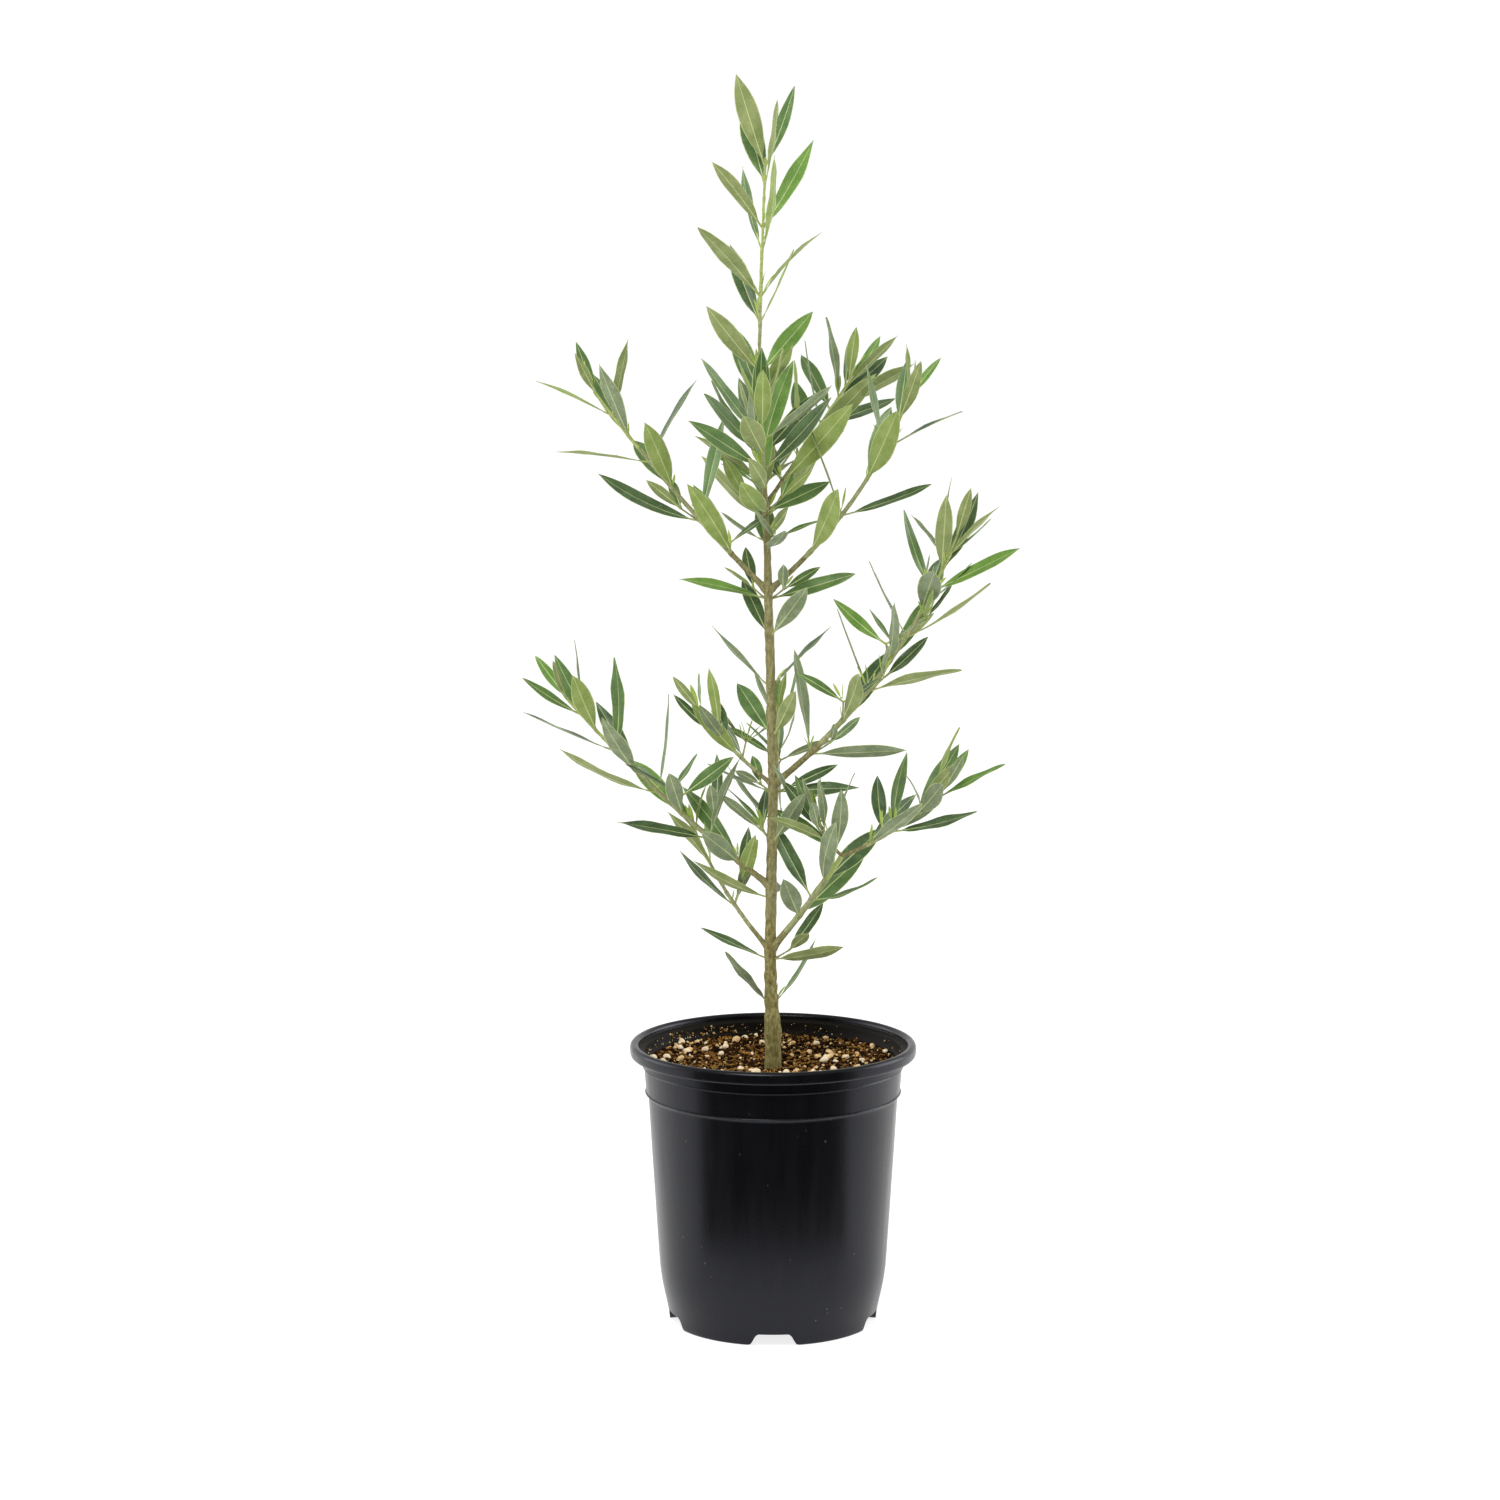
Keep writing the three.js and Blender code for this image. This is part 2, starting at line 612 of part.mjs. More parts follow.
const pairs = [...trunkPairs(), ...boughPairs()];
const collars = pairs.map(({ point, axis, radius }) => {
  const ends = [-0.5, 0.5].map((k) => point.clone().addScaledVector(axis, k * COLLAR_HEIGHT));
  const wide = radius + GAP + COLLAR_WALL;
  return limb(ends, [wide, wide], TRUNK_SIDES);
});
const limbs = [trunkSolid, ...Object.values(boughs)];

twigs.forEach((twig) => {
  const masses = twigs.filter((other) => other !== twig).map((other) => other.mass ?? other.stem);
  const others = [...limbs, ...collars, ...masses];
  twig.mass = dressed(twig.stem, shootLeaves(twig.spec, twig.points), others);
  place(`foliage_${twig.name}`, twig.mass, 'foliage');
});

pairs.forEach((one, i) => {
  const masses = [...twigs.map((twig) => twig.mass), ...collars.filter((_, k) => k !== i)];
  const others = [...limbs.filter((limbSolid) => limbSolid !== one.host), ...masses];
  collars[i] = dressed(collars[i], one.leaves, others).subtract(one.room);
  place(`leaf_pair_${String(i + 1).padStart(2, '0')}`, collars[i], 'foliage');
});

export default group;
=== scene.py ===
# %% [markdown]
# # A young olive tree in a nursery pot
#
# The plant is a one-year-old olive with one leader, in a black one-gallon pot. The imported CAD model
# is a fixed frame: it gives every size and place. Blender adds what the eye looks for, such as bark
# that is rough, leaves with two different sides, and a potting mix made of many small grains.
#
# Lengths are written in millimetres, as on a drawing, and turned to metres where a mesh is made.

# %% The fixed frame
import math

import bmesh
import bpy
import numpy as np
from mathutils import Matrix, Vector, noise


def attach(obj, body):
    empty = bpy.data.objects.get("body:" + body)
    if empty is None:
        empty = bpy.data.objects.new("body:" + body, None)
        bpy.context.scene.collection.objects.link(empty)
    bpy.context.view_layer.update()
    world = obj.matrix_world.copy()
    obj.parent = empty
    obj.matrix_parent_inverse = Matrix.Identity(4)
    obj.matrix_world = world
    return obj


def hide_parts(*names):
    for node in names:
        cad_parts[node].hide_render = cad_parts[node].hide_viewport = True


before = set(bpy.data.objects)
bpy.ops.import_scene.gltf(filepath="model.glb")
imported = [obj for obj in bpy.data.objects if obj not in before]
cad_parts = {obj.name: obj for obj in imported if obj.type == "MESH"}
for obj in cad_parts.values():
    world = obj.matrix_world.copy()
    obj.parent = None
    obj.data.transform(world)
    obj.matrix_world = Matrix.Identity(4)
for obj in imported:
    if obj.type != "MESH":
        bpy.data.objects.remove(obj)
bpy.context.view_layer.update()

MM = 0.001

# %% [markdown]
# ## Colours
#
# A colour picked from a screen is an sRGB number, but a shader adds up light, so it needs linear
# numbers. One function turns the hex code to linear. Every colour below goes through it.

# %% Colours
def linear(code):
    shares = [int(code[i:i + 2], 16) / 255 for i in (1, 3, 5)]
    return [s / 12.92 if s <= 0.04045 else ((s + 0.055) / 1.055) ** 2.4 for s in shares] + [1.0]


print("mid grey in linear light:", round(linear("#808080")[0], 3))

# %% [markdown]
# ## Nodes and materials
#
# A material is a small tree of nodes. One helper adds a node, sets its values and joins its inputs,
# so that a pattern reads as a short list. The values that are the same all over a surface are set on
# the shader itself, because an exported model keeps only those.

# %% Adding a node
def add(tree, kind, settings=None, links=None):
    node = tree.nodes.new(kind)
    for key, value in (settings or {}).items():
        if key == "stops":
            ramp = node.color_ramp
            while len(ramp.elements) < len(value):
                ramp.elements.new(0.5)
            for element, (place, colour) in zip(ramp.elements, value):
                element.position = place
                element.color = colour
        elif isinstance(key, int) or key in node.inputs:
            node.inputs[key].default_value = value
        else:
            setattr(node, key, value)
    for key, socket in (links or {}).items():
        tree.links.new(socket, node.inputs[key])
    return node


def surface(name, **settings):
    material = bpy.data.materials.new(name)
    material.use_nodes = True
    tree = material.node_tree
    tree.nodes.clear()
    shader = add(tree, "ShaderNodeBsdfPrincipled", settings)
    add(tree, "ShaderNodeOutputMaterial", links={"Surface": shader.outputs[0]})
    place = add(tree, "ShaderNodeTexCoord").outputs["Object"]
    return material, tree, shader, place


def per_mm(size):
    return 1 / (size * MM)


print("a 2 mm grain is a noise of scale", round(per_mm(2)))

# %% [markdown]
# ## Pieces
#
# Every piece is a mesh in the row's frame. The helper takes points in millimetres and the faces, deals
# out the finishes by face, and turns the faces outward if the mesh came out inside out.

# %% Making a piece
def enclosed(points, faces):
    total = 0.0
    for size in (3, 4):
        rows = np.array([f for f in faces if len(f) == size], int)
        if len(rows):
            corners = points[rows]
            for k in range(1, size - 1):
                a, b, c = corners[:, 0], corners[:, k], corners[:, k + 1]
                total += np.einsum("ij,ij->", a, np.cross(b, c)) / 6
    return total


def piece(name, points, faces, finishes, dealt=None, replaces=()):
    points = np.asarray(points, float)
    mesh = bpy.data.meshes.new(name)
    mesh.from_pydata((points * MM).tolist(), [], [list(map(int, f)) for f in faces])
    for finish in finishes:
        mesh.materials.append(finish)
    if dealt is not None:
        mesh.polygons.foreach_set("material_index", np.asarray(dealt, np.int32))
    mesh.polygons.foreach_set("use_smooth", [True] * len(mesh.polygons))
    if enclosed(points, faces) < 0:
        mesh.flip_normals()
    mesh.update()
    made = bpy.data.objects.new(name, mesh)
    bpy.context.scene.collection.objects.link(made)
    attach(made, "root")
    if replaces:
        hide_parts(*replaces)
    triangles = sum(len(f) - 2 for f in faces)
    print(f"{name}: {triangles} triangles")
    return made


corner = np.array([(0, 0, 0), (1, 0, 0), (0, 1, 0), (0, 0, 1)], float)
volume = enclosed(corner, [(0, 2, 1), (0, 1, 3), (1, 2, 3), (2, 0, 3)])
print("a corner of a unit cube holds", round(volume, 3))

# %% [markdown]
# ## Camera
#
# The photograph was taken from about two metres with a short telephoto, a little above the middle of
# the plant. A long lens keeps the pot's rim a flat ellipse. The picture is taken as 1500 pixels wide.

# %% Camera
PHOTO_WIDTH = 1500
FOCAL_PIXELS = 3895
CAMERA_PLACE = (-13.3, -2200, 650)
CAMERA_DOWN = 8.19

lens = bpy.data.cameras.new("camera")
lens.sensor_width = 36
lens.lens = FOCAL_PIXELS / PHOTO_WIDTH * lens.sensor_width
camera = bpy.data.objects.new("camera", lens)
camera.location = Vector(CAMERA_PLACE) * MM
camera.rotation_euler = (math.radians(90 - CAMERA_DOWN), 0, 0)
bpy.context.scene.collection.objects.link(camera)
bpy.context.scene.camera = camera
print("focal length:", round(lens.lens, 1), "mm")

# %% [markdown]
# ## Light and ground
#
# The photograph has the light of a product studio: a white sweep and broad soft lamps, so that shade is
# soft and hardly any ground shows. A world that is white at the horizon and grey overhead gives most of
# it. Large area lamps give the pot its long highlights and the leaves some form. The plain view
# transform keeps the colours as set.

# %% World
WALL_LIGHT = 1.04
CEILING_LIGHT = 0.45
WALL_TOP = 0.2                   # as the upward part of a direction
CEILING_START = 0.6

scene = bpy.context.scene
scene.view_settings.view_transform = "Standard"
scene.view_settings.look = "None"

world = bpy.data.worlds.new("studio")
scene.world = world
world.use_nodes = True
world.node_tree.nodes.clear()

heading = add(world.node_tree, "ShaderNodeTexCoord").outputs["Generated"]
split = add(world.node_tree, "ShaderNodeSeparateXYZ", links={"Vector": heading})
strength = add(world.node_tree, "ShaderNodeMapRange",
               {"From Min": WALL_TOP, "From Max": CEILING_START,
                "To Min": WALL_LIGHT, "To Max": CEILING_LIGHT},
               {"Value": split.outputs["Z"]})
sky = add(world.node_tree, "ShaderNodeBackground", {"Color": linear("#ffffff")},
          {"Strength": strength.outputs[0]})
add(world.node_tree, "ShaderNodeOutputWorld", links={"Surface": sky.outputs[0]})
print("light of the walls and the ceiling:", WALL_LIGHT, CEILING_LIGHT)

# %% Lamps
LAMP_TARGET = Vector((0, 0, 0.3))
# Places and sizes in metres
LAMPS = {
    "key": {"place": (-0.5, -1.3, 2.1), "size": 0.9, "watts": 22},
    "left": {"place": (-1.5, 0.5, 0.8), "size": 1.1, "watts": 8},
    "right": {"place": (1.5, 0.45, 0.8), "size": 1.1, "watts": 12},
}

for name, spec in LAMPS.items():
    light = bpy.data.lights.new(f"{name}_lamp", "AREA")
    light.size = spec["size"]
    light.energy = spec["watts"]
    lamp = bpy.data.objects.new(f"{name}_lamp", light)
    lamp.location = spec["place"]
    toward = LAMP_TARGET - lamp.location
    lamp.rotation_euler = toward.to_track_quat("-Z", "Y").to_euler()
    scene.collection.objects.link(lamp)
print("lamps:", ", ".join(LAMPS))

# %% Ground
GROUND_HALF = 9.0                # metres

# Matt paper scatters light evenly. Its own soft glow burns it out to white, as a lit sweep does.
paper = surface("matt_paper_sweep", **{
    "Base Color": linear("#b0b0ae"), "Roughness": 0.95,
    "Emission Color": linear("#ffffff"), "Emission Strength": 0.8,
})[0]

sweep = bpy.data.meshes.new("sweep")
corners = [(-1, -1), (1, -1), (1, 1), (-1, 1)]
sweep.from_pydata([(x * GROUND_HALF, y * GROUND_HALF, 0) for x, y in corners], [], [(0, 1, 2, 3)])
sweep.materials.append(paper)
ground = bpy.data.objects.new("sweep", sweep)
scene.collection.objects.link(ground)
print("ground:", 2 * GROUND_HALF, "m across")

# %% [markdown]
# A black glossy thing is photographed by what it mirrors. With white all round, the pot would look
# grey, so a studio hangs a black flag in front, out of the picture, and the bright sides draw the
# edges of the pot. Here the flag is a curved black sheet that lies on the ground and then stands up. Only
# mirrored rays meet it, so it takes no light from the leaves and it doesn't show in any view.

# %% Black flag
FLAG_HALF_ANGLE = 66
FLAG_STEPS = 24
FLAG_PROFILE = [(0.2, 0.002), (2.6, 0.002), (2.6, 2.4)]       # radius and height in metres

# Felt swallows light, so the pot looks black where it mirrors the flag
felt = surface("black_felt", **{
    "Base Color": linear("#050505"), "Roughness": 1.0, "Specular IOR Level": 0.0,
})[0]

flag_points, flag_faces = [], []
for i in range(FLAG_STEPS + 1):
    turn = math.radians(-90 + FLAG_HALF_ANGLE * (2 * i / FLAG_STEPS - 1))
    flag_points += [(r * math.cos(turn), r * math.sin(turn), z) for r, z in FLAG_PROFILE]
for i in range(FLAG_STEPS):
    for j in range(len(FLAG_PROFILE) - 1):
        a = i * len(FLAG_PROFILE) + j
        flag_faces.append((a, a + len(FLAG_PROFILE), a + len(FLAG_PROFILE) + 1, a + 1))
sheet = bpy.data.meshes.new("black_flag")
sheet.from_pydata(flag_points, [], flag_faces)
sheet.materials.append(felt)
flag = bpy.data.objects.new("black_flag", sheet)
for ray in ("camera", "diffuse", "transmission", "volume_scatter", "shadow"):
    setattr(flag, f"visible_{ray}", False)
scene.collection.objects.link(flag)
print("flag:", 2 * FLAG_HALF_ANGLE, "degrees wide")

# %% [markdown]
# ## The pot
#
# A nursery pot is moulded from recycled polypropylene. It is turned about one axis, so it could be a
# curve with a screw modifier, but a profile written as radius and height keeps the real sizes in view.
# The rim is a rolled lip with a hollow under it. Under the lip come a short neck, a smooth band
# and a step with a thin raised line. The wall then tapers down to the foot.

# %% Profile of the pot
POT_SEGMENTS = 192
POT_HEIGHT = 163.5
RIM_RADIUS = 82.5
ROLL_RADIUS = 2.6
ROLL_STEPS = 12
FLOOR_TOP = 12

# Radius and height, from the middle of the underside out to the rim
OUTSIDE = [
    (0, 7), (20, 7), (39.6, 7), (40.4, 6.7), (42.5, 0.6), (43, 0.15), (43.8, 0), (50, 0), (58.6, 0),
    (59.4, 0.15), (59.9, 0.55), (60.1, 1.2), (60.4, 4), (60.9, 7), (61.6, 10.5), (62.4, 14), (63.3, 18),
    (64.2, 22.5), (65, 27.5), (65.55, 32), (65.9, 36.5), (66.9, 52), (68.5, 77), (70.1, 102),
    (71.6, 127), (71.95, 131.8), (72.1, 133), (72.6, 133.9), (73.1, 134.3), (73.5, 134.5),
    (73.95, 134.8), (73.7, 135.15), (73.3, 135.4), (73.3, 136.2), (73.8, 142), (74.3, 149),
    (74.6, 149.3), (74.9, 149.6), (75.2, 149.9), (75, 150.3), (74.9, 151), (75.2, 156), (75.5, 158.8),
    (75.9, 159.5), (76.6, 159.8), (79.6, 159.8), (80.3, 159.5), (80.5, 158.8), (80.5, 157.2),
    (80.7, 156.6), (81.2, 156.3), (81.7, 156.4), (82.1, 156.8), (82.4, 157.6), (82.5, 158.6),
    (82.5, 160.4),
]
# From the rim down to the middle of the floor
INSIDE = [
    (77.3, 160.4), (77, 159.9), (75, 159.5), (74, 159), (73.7, 158), (73.6, 154.2), (73.2, 153.6),
    (72.4, 153.2), (72.1, 152.6), (72, 150), (71.2, 138), (70.4, 131), (67.4, 82), (64.9, 42),
    (63.9, 34), (62.6, 22), (60.4, FLOOR_TOP), (30, FLOOR_TOP), (0, FLOOR_TOP),
]


def roll():
    centre = (RIM_RADIUS - ROLL_RADIUS, POT_HEIGHT - ROLL_RADIUS)
    for i in range(ROLL_STEPS + 1):
        turn = math.pi * i / ROLL_STEPS
        yield centre[0] + ROLL_RADIUS * math.cos(turn), centre[1] + ROLL_RADIUS * math.sin(turn)


pot_profile = OUTSIDE + list(roll()) + INSIDE
print("pot profile:", len(pot_profile), "points")

# %% Turning the profile
def turned(profile, segments):
    points, rings, faces = [], [], []
    for radius, height in profile:
        if radius == 0:
            rings.append([len(points)] * segments)
            points.append((0, 0, height))
        else:
            rings.append(list(range(len(points), len(points) + segments)))
            for j in range(segments):
                turn = 2 * math.pi * j / segments
                points.append((radius * math.cos(turn), radius * math.sin(turn), height))
    for low, high in zip(rings, rings[1:]):
        for j in range(segments):
            k = (j + 1) % segments
            corners = [low[j], low[k], high[k], high[j]]
            faces.append([c for n, c in enumerate(corners) if c not in corners[:n]])
    return points, faces


pot_points, pot_faces = turned(pot_profile, POT_SEGMENTS)
print("turned pot:", len(pot_faces), "faces")

# %% [markdown]
# The drainage clefts run in from the foot, five of them. A Boolean modifier cuts them, which is
# how a mould core would leave them, and it is applied so that the mesh is final.
#
# Black polypropylene straight from the mould is satin, with a fine grain that the tool leaves. Its
# IOR is about 1.49. It gives the eye a near-black face with broad soft highlights, and potting dust
# dulls it here and there.

# %% Black polypropylene
moulded, tree, shader, place = surface(
    "black_moulded_polypropylene",
    **{"IOR": 1.49, "Specular IOR Level": 0.36, "Specular Tint": linear("#ebedff")}
)
POT_GRAIN = 0.7                  # drawn coarser than the real grain so that it shows
POT_DRAG = 9                     # width of the dull streaks that run down the wall
POT_MOTES = 7
POT_PATCHES = 30

grain = add(tree, "ShaderNodeTexNoise", {"Scale": per_mm(POT_GRAIN), "Detail": 3.0}, {"Vector": place})
tall = add(tree, "ShaderNodeMapping", {"Scale": (1, 1, 0.12)}, {"Vector": place})
drag = add(tree, "ShaderNodeTexNoise", {"Scale": per_mm(POT_DRAG), "Detail": 4.0},
           {"Vector": tall.outputs[0]})
dull = add(tree, "ShaderNodeMapRange", {"From Min": 0.35, "From Max": 0.7, "To Min": 0.24, "To Max": 0.34},
           {"Value": drag.outputs["Fac"]})
tree.links.new(dull.outputs[0], shader.inputs["Roughness"])

motes = add(tree, "ShaderNodeTexVoronoi", {"Scale": per_mm(POT_MOTES)}, {"Vector": place})
mote = add(tree, "ShaderNodeMapRange",
           {"From Min": 0.03, "From Max": 0.09, "To Min": 1.0, "To Max": 0.0},
           {"Value": motes.outputs["Distance"]})
patch = add(tree, "ShaderNodeTexNoise", {"Scale": per_mm(POT_PATCHES), "Detail": 2.0}, {"Vector": place})
some = add(tree, "ShaderNodeMapRange", {"From Min": 0.52, "From Max": 0.6, "To Min": 0.0, "To Max": 0.5},
           {"Value": patch.outputs["Fac"]})
dust = add(tree, "ShaderNodeMath", {"operation": "MULTIPLY"},
           {0: mote.outputs[0], 1: some.outputs[0]})
black = add(tree, "ShaderNodeMix", {"data_type": "RGBA", 6: linear("#08080a"), 7: linear("#0e0e10")},
            {0: drag.outputs["Fac"]})
dusty = add(tree, "ShaderNodeMix", {"data_type": "RGBA", 7: linear("#7d7768")},
            {0: dust.outputs[0], 6: black.outputs[2]})
tree.links.new(dusty.outputs[2], shader.inputs["Base Color"])
bump = add(tree, "ShaderNodeBump", {"Strength": 0.12, "Distance": 0.1 * MM},
           {"Height": grain.outputs["Fac"]})
tree.links.new(bump.outputs[0], shader.inputs["Normal"])

# Peat dust clings to the inside of the mouth, so it is dull and nearly black
dusted = surface("peat_dust_on_polypropylene", **{
    "Base Color": linear("#14110b"), "Roughness": 0.6, "IOR": 1.49, "Specular IOR Level": 0.15,
})[0]
print("pot finishes:", moulded.name, dusted.name)

# %% Cutting the clefts
CLEFTS = 5
CLEFT_END = 41                   # a cleft runs in to this distance from the axis
# Half the outline of a cleft, from below the ground up to its roof, as half width and height
CLEFT_HALF = [
    (17.5, -1), (15.8, 0), (14, 0.4), (13.1, 0.9), (12.6, 1.5), (11.9, 2.7), (11.2, 4), (10.6, 5.2),
    (9.8, 6.2), (9.1, 6.7), (8.3, 7),
]

outline = CLEFT_HALF + [(-x, z) for x, z in reversed(CLEFT_HALF)]
cutter_points, cutter_faces = [], []
for i in range(CLEFTS):
    turn = Matrix.Rotation(2 * math.pi * i / CLEFTS, 3, "Z")
    first = len(cutter_points)
    for distance in (CLEFT_END, RIM_RADIUS):
        cutter_points += [turn @ Vector((x, -distance, z)) for x, z in outline]
    count = len(outline)
    cutter_faces.append([first + j for j in reversed(range(count))])
    cutter_faces.append([first + count + j for j in range(count)])
    for j in range(count):
        k = (j + 1) % count
        cutter_faces.append([first + j, first + k, first + count + k, first + count + j])

inside = len(pot_profile) - len(INSIDE)
dealt = [int(ring >= inside) for ring in range(len(pot_profile) - 1) for _ in range(POT_SEGMENTS)]
pot = piece("nursery_pot", pot_points, pot_faces, [moulded, dusted], dealt, ["pot"])
cut_mesh = bpy.data.meshes.new("clefts")
cut_mesh.from_pydata([tuple(p * MM) for p in cutter_points], [], cutter_faces)
cutter = bpy.data.objects.new("clefts", cut_mesh)
scene.collection.objects.link(cutter)
print("points in the cutter:", len(cutter_points))

# %% Applying the cut
SHARP_EDGE = 38                  # degrees between two faces


def apply_all(thing):
    graph = bpy.context.evaluated_depsgraph_get()
    mesh = bpy.data.meshes.new_from_object(thing.evaluated_get(graph))
    thing.modifiers.clear()
    thing.data = mesh


cutting = pot.modifiers.new("clefts", "BOOLEAN")
cutting.operation = "DIFFERENCE"
cutting.solver = "EXACT"
cutting.object = cutter
apply_all(pot)
bpy.data.objects.remove(cutter)
pot.data.set_sharp_from_angle(angle=math.radians(SHARP_EDGE))
print("pot with clefts:", len(pot.data.polygons), "faces")

# %% [markdown]
# ## Chance that repeats
#
# A plant grows by rule, but no two leaves are alike. The numbers come from a small generator with
# a seed, the same one that the CAD source uses, so the leaves stand where the solids do. Only a few
# stand apart, because the CAD turns a leaf aside where its solid would touch another.

# %% The seeded generator
MODULUS = 2 ** 31 - 1            # a prime
MULTIPLIER = 16807
SEED_STEP = 7919
SEED_START = 17
WARM_UP = 3


class Chance:
    def __init__(self, seed):
        self.state = seed * SEED_STEP + SEED_START
        for _ in range(WARM_UP):
            self.next()

    def next(self):
        self.state = self.state * MULTIPLIER % MODULUS
        return self.state / MODULUS

    def around(self, spread):
        return (self.next() * 2 - 1) * spread

    def between(self, low, high):
        return low + (high - low) * self.next()


print("first draw of seed 1:", round(Chance(1).next(), 4))

# %% [markdown]
# ## The frame of the plant
#
# The trunk is given by its place and diameter at some heights, from the mix to the leader's tip. A
# shoot leaves it at a height and an azimuth, and lifts its tip as it grows. Leaves stand in opposite
# pairs, each pair square to the one before it. The numbers are those of the CAD source.

# %% Trunk and shoots
# Height, place in x and in y, and diameter
TRUNK = [
    (147, 0, 0, 10.4), (149.3, 0, 0, 9.8), (153, 0, 0, 9.4), (164, 0, 0, 9.3), (170, 0, 0, 10.3),
    (178, -0.5, 0, 8.2), (190, -1.2, 0.3, 7.0), (217, -1.7, 0.8, 6.5), (315, 0, 1.6, 5.7),
    (367, -1.3, 1.8, 5.4), (425, -3, 2, 4.8), (445, -3.4, 2, 4.0), (490, -5.2, 2, 2.6),
    (565, -8, 2, 2.0), (605, -7, 2, 1.8), (668, -4.6, 2, 1.4),
]
TRUNK_TOP = TRUNK[-1][0]
# A shoot turns from its first azimuth and tilt to its second. "first" is its first internode, each
# next one is "ratio" times as long, and "thick" is its diameter at the foot and at the tip. Where
# "upright" is 1, the first pair stands upright, and otherwise it lies level.
FIELDS = ("height", "azimuth", "tilt", "length", "first", "ratio", "upright", "leaf", "thick", "seed")
SHOOT_ROWS = {
    "upper_left": (424, (180, 178), (45, 37), 150, 30, 0.88, 0, 55, (3.4, 1.5), 852),
    "upper_right": (424, (0, 2), (50, 21), 140, 33, 0.85, 0, 56, (3.3, 1.5), 90),
    "front": (473, (-92, -95), (49, 22), 76, 17, 0.82, 1, 53, (2.4, 1.5), 988),
    "inner_right": (473, (50, 42), (49, 43), 98, 20, 0.86, 0, 54, (2.6, 1.5), 185),
    "upper_back": (453, (95, 95), (55, 24), 86, 19, 0.79, 0, 51, (2.5, 1.5), 522),
    "middle_right": (313, (-15, -12), (51, 21), 183, 30, 0.88, 1, 52, (3.8, 1.5), 544),
    "middle_left": (313, (145, 145), (62, 43), 66, 26, 0.82, 0, 45, (2.4, 1.5), 122),
    "lower_left": (254, (195, 190), (52, 41), 164, 25, 0.92, 0, 53, (3.7, 1.5), 282),
    "lower_back": (254, (85, 85), (38, 20), 107, 41, 0.82, 0, 44, (2.8, 1.5), 259),
    "lowest_left": (217, (160, 160), (45, 24), 82, 34, 0.83, 1, 50, (2.8, 1.5), 685),
}
SHOOTS = {name: dict(zip(FIELDS, row)) for name, row in SHOOT_ROWS.items()}
SHOOTS["lowest_right"] = {
    "height": 217, "azimuth": (-20, -20), "tilt": (41, 33), "length": 72, "pairs": (28, 41, 54),
    "spread": 55, "leaf": 50, "thick": (4.2, 2.8), "seed": 12,
}
FORK_ROWS = {
    "lowest_right_outer": (None, (-2, -10), (69, 44), 68, 17, 0.96, 0, 52, (2.2, 1.5), 414),
    "lowest_right_inner": (None, (-153, -150), (48, 18), 30, 6, 0.88, 0, 48, (1.9, 1.5), 519),
}
FORKS = {name: dict(zip(FIELDS, row)) for name, row in FORK_ROWS.items()}
print(len(SHOOTS), "shoots and", len(FORKS), "twigs of a fork")

# %% Directions
UP = Vector((0, 0, 1))


def mix(a, b, share):
    return a + (b - a) * share


def aim(azimuth, tilt):
    a, t = math.radians(azimuth), math.radians(tilt)
    return Vector((math.sin(t) * math.cos(a), math.sin(t) * math.sin(a), math.cos(t)))


def square_to(vector, axis):
    return (vector - axis * vector.dot(axis)).normalized()


def swung(vector, axis, degrees):
    return Matrix.Rotation(math.radians(degrees), 3, axis) @ vector


print("a shoot at azimuth 0 and tilt 90 points to", tuple(round(v) for v in aim(0, 90)))

# %% Paths
PATH_STEP = 3


def trunk_at(height):
    rows = next((pair for pair in zip(TRUNK, TRUNK[1:]) if pair[1][0] >= height), TRUNK[-2:])
    below, above = rows
    share = (height - below[0]) / (above[0] - below[0])
    x, y, thick = (mix(below[k], above[k], share) for k in (1, 2, 3))
    return Vector((x, y, height)), thick / 2


def shoot_path(start, spec):
    count = round(spec["length"] / PATH_STEP)
    points = [start.copy()]
    for i in range(count):
        share = (i + 0.5) / count
        way = aim(mix(*spec["azimuth"], share), mix(*spec["tilt"], share))
        points.append(points[-1] + way * (spec["length"] / count))
    return points


def along(points, length, distance):
    step = length / (len(points) - 1)
    i = min(int(max(distance, 0) / step), len(points) - 2)
    share = distance / step - i
    return points[i].lerp(points[i + 1], share), (points[i + 1] - points[i]).normalized()


PATHS = {name: shoot_path(trunk_at(spec["height"])[0], spec) for name, spec in SHOOTS.items()}
for name, spec in FORKS.items():
    PATHS[name] = shoot_path(PATHS["lowest_right"][-1], spec)
print("top of the trunk:", [round(v, 1) for v in trunk_at(TRUNK_TOP)[0]])

# %% [markdown]
# ## Where the leaves stand
#
# A young olive leaf turns its dark upper side to the light and shows a paler back. Each leaf is kept
# as a few values: its root, its direction, its upper side, its length, its arch and its age, which
# counts the pairs from the tip. The draws come in the order of the CAD source, so that both follow
# one rule.

# %% Rule of a leaf and of a pair
LIFT = 0.45                      # how far a pair turns from its stem toward the vertical
SPIN = 14                        # degrees either way, for each pair
SEAT = 0.8                       # a stalk starts at this share of the stem's radius
# How far leaves differ, either way: angles in degrees, size and arch as shares of the length
HABIT = {
    "shoot": {"spread": 8, "twist": 50, "size": 0.12, "arch_span": 0.09, "arch": 0.03},
    "trunk": {"spread": 7, "azimuth": 10, "twist": 60, "size": 0.1, "arch_span": 0.09, "arch": 0.02},
}


def leaf_of(chance, root, way, axis, size, habit, age):
    face = swung(square_to(axis, way), way, chance.around(habit["twist"]))
    length = size * (1 + chance.around(habit["size"]))
    arch = habit["arch"] + chance.around(habit["arch_span"])
    return {"root": root, "way": way, "face": face, "length": length, "arch": arch, "age": age}


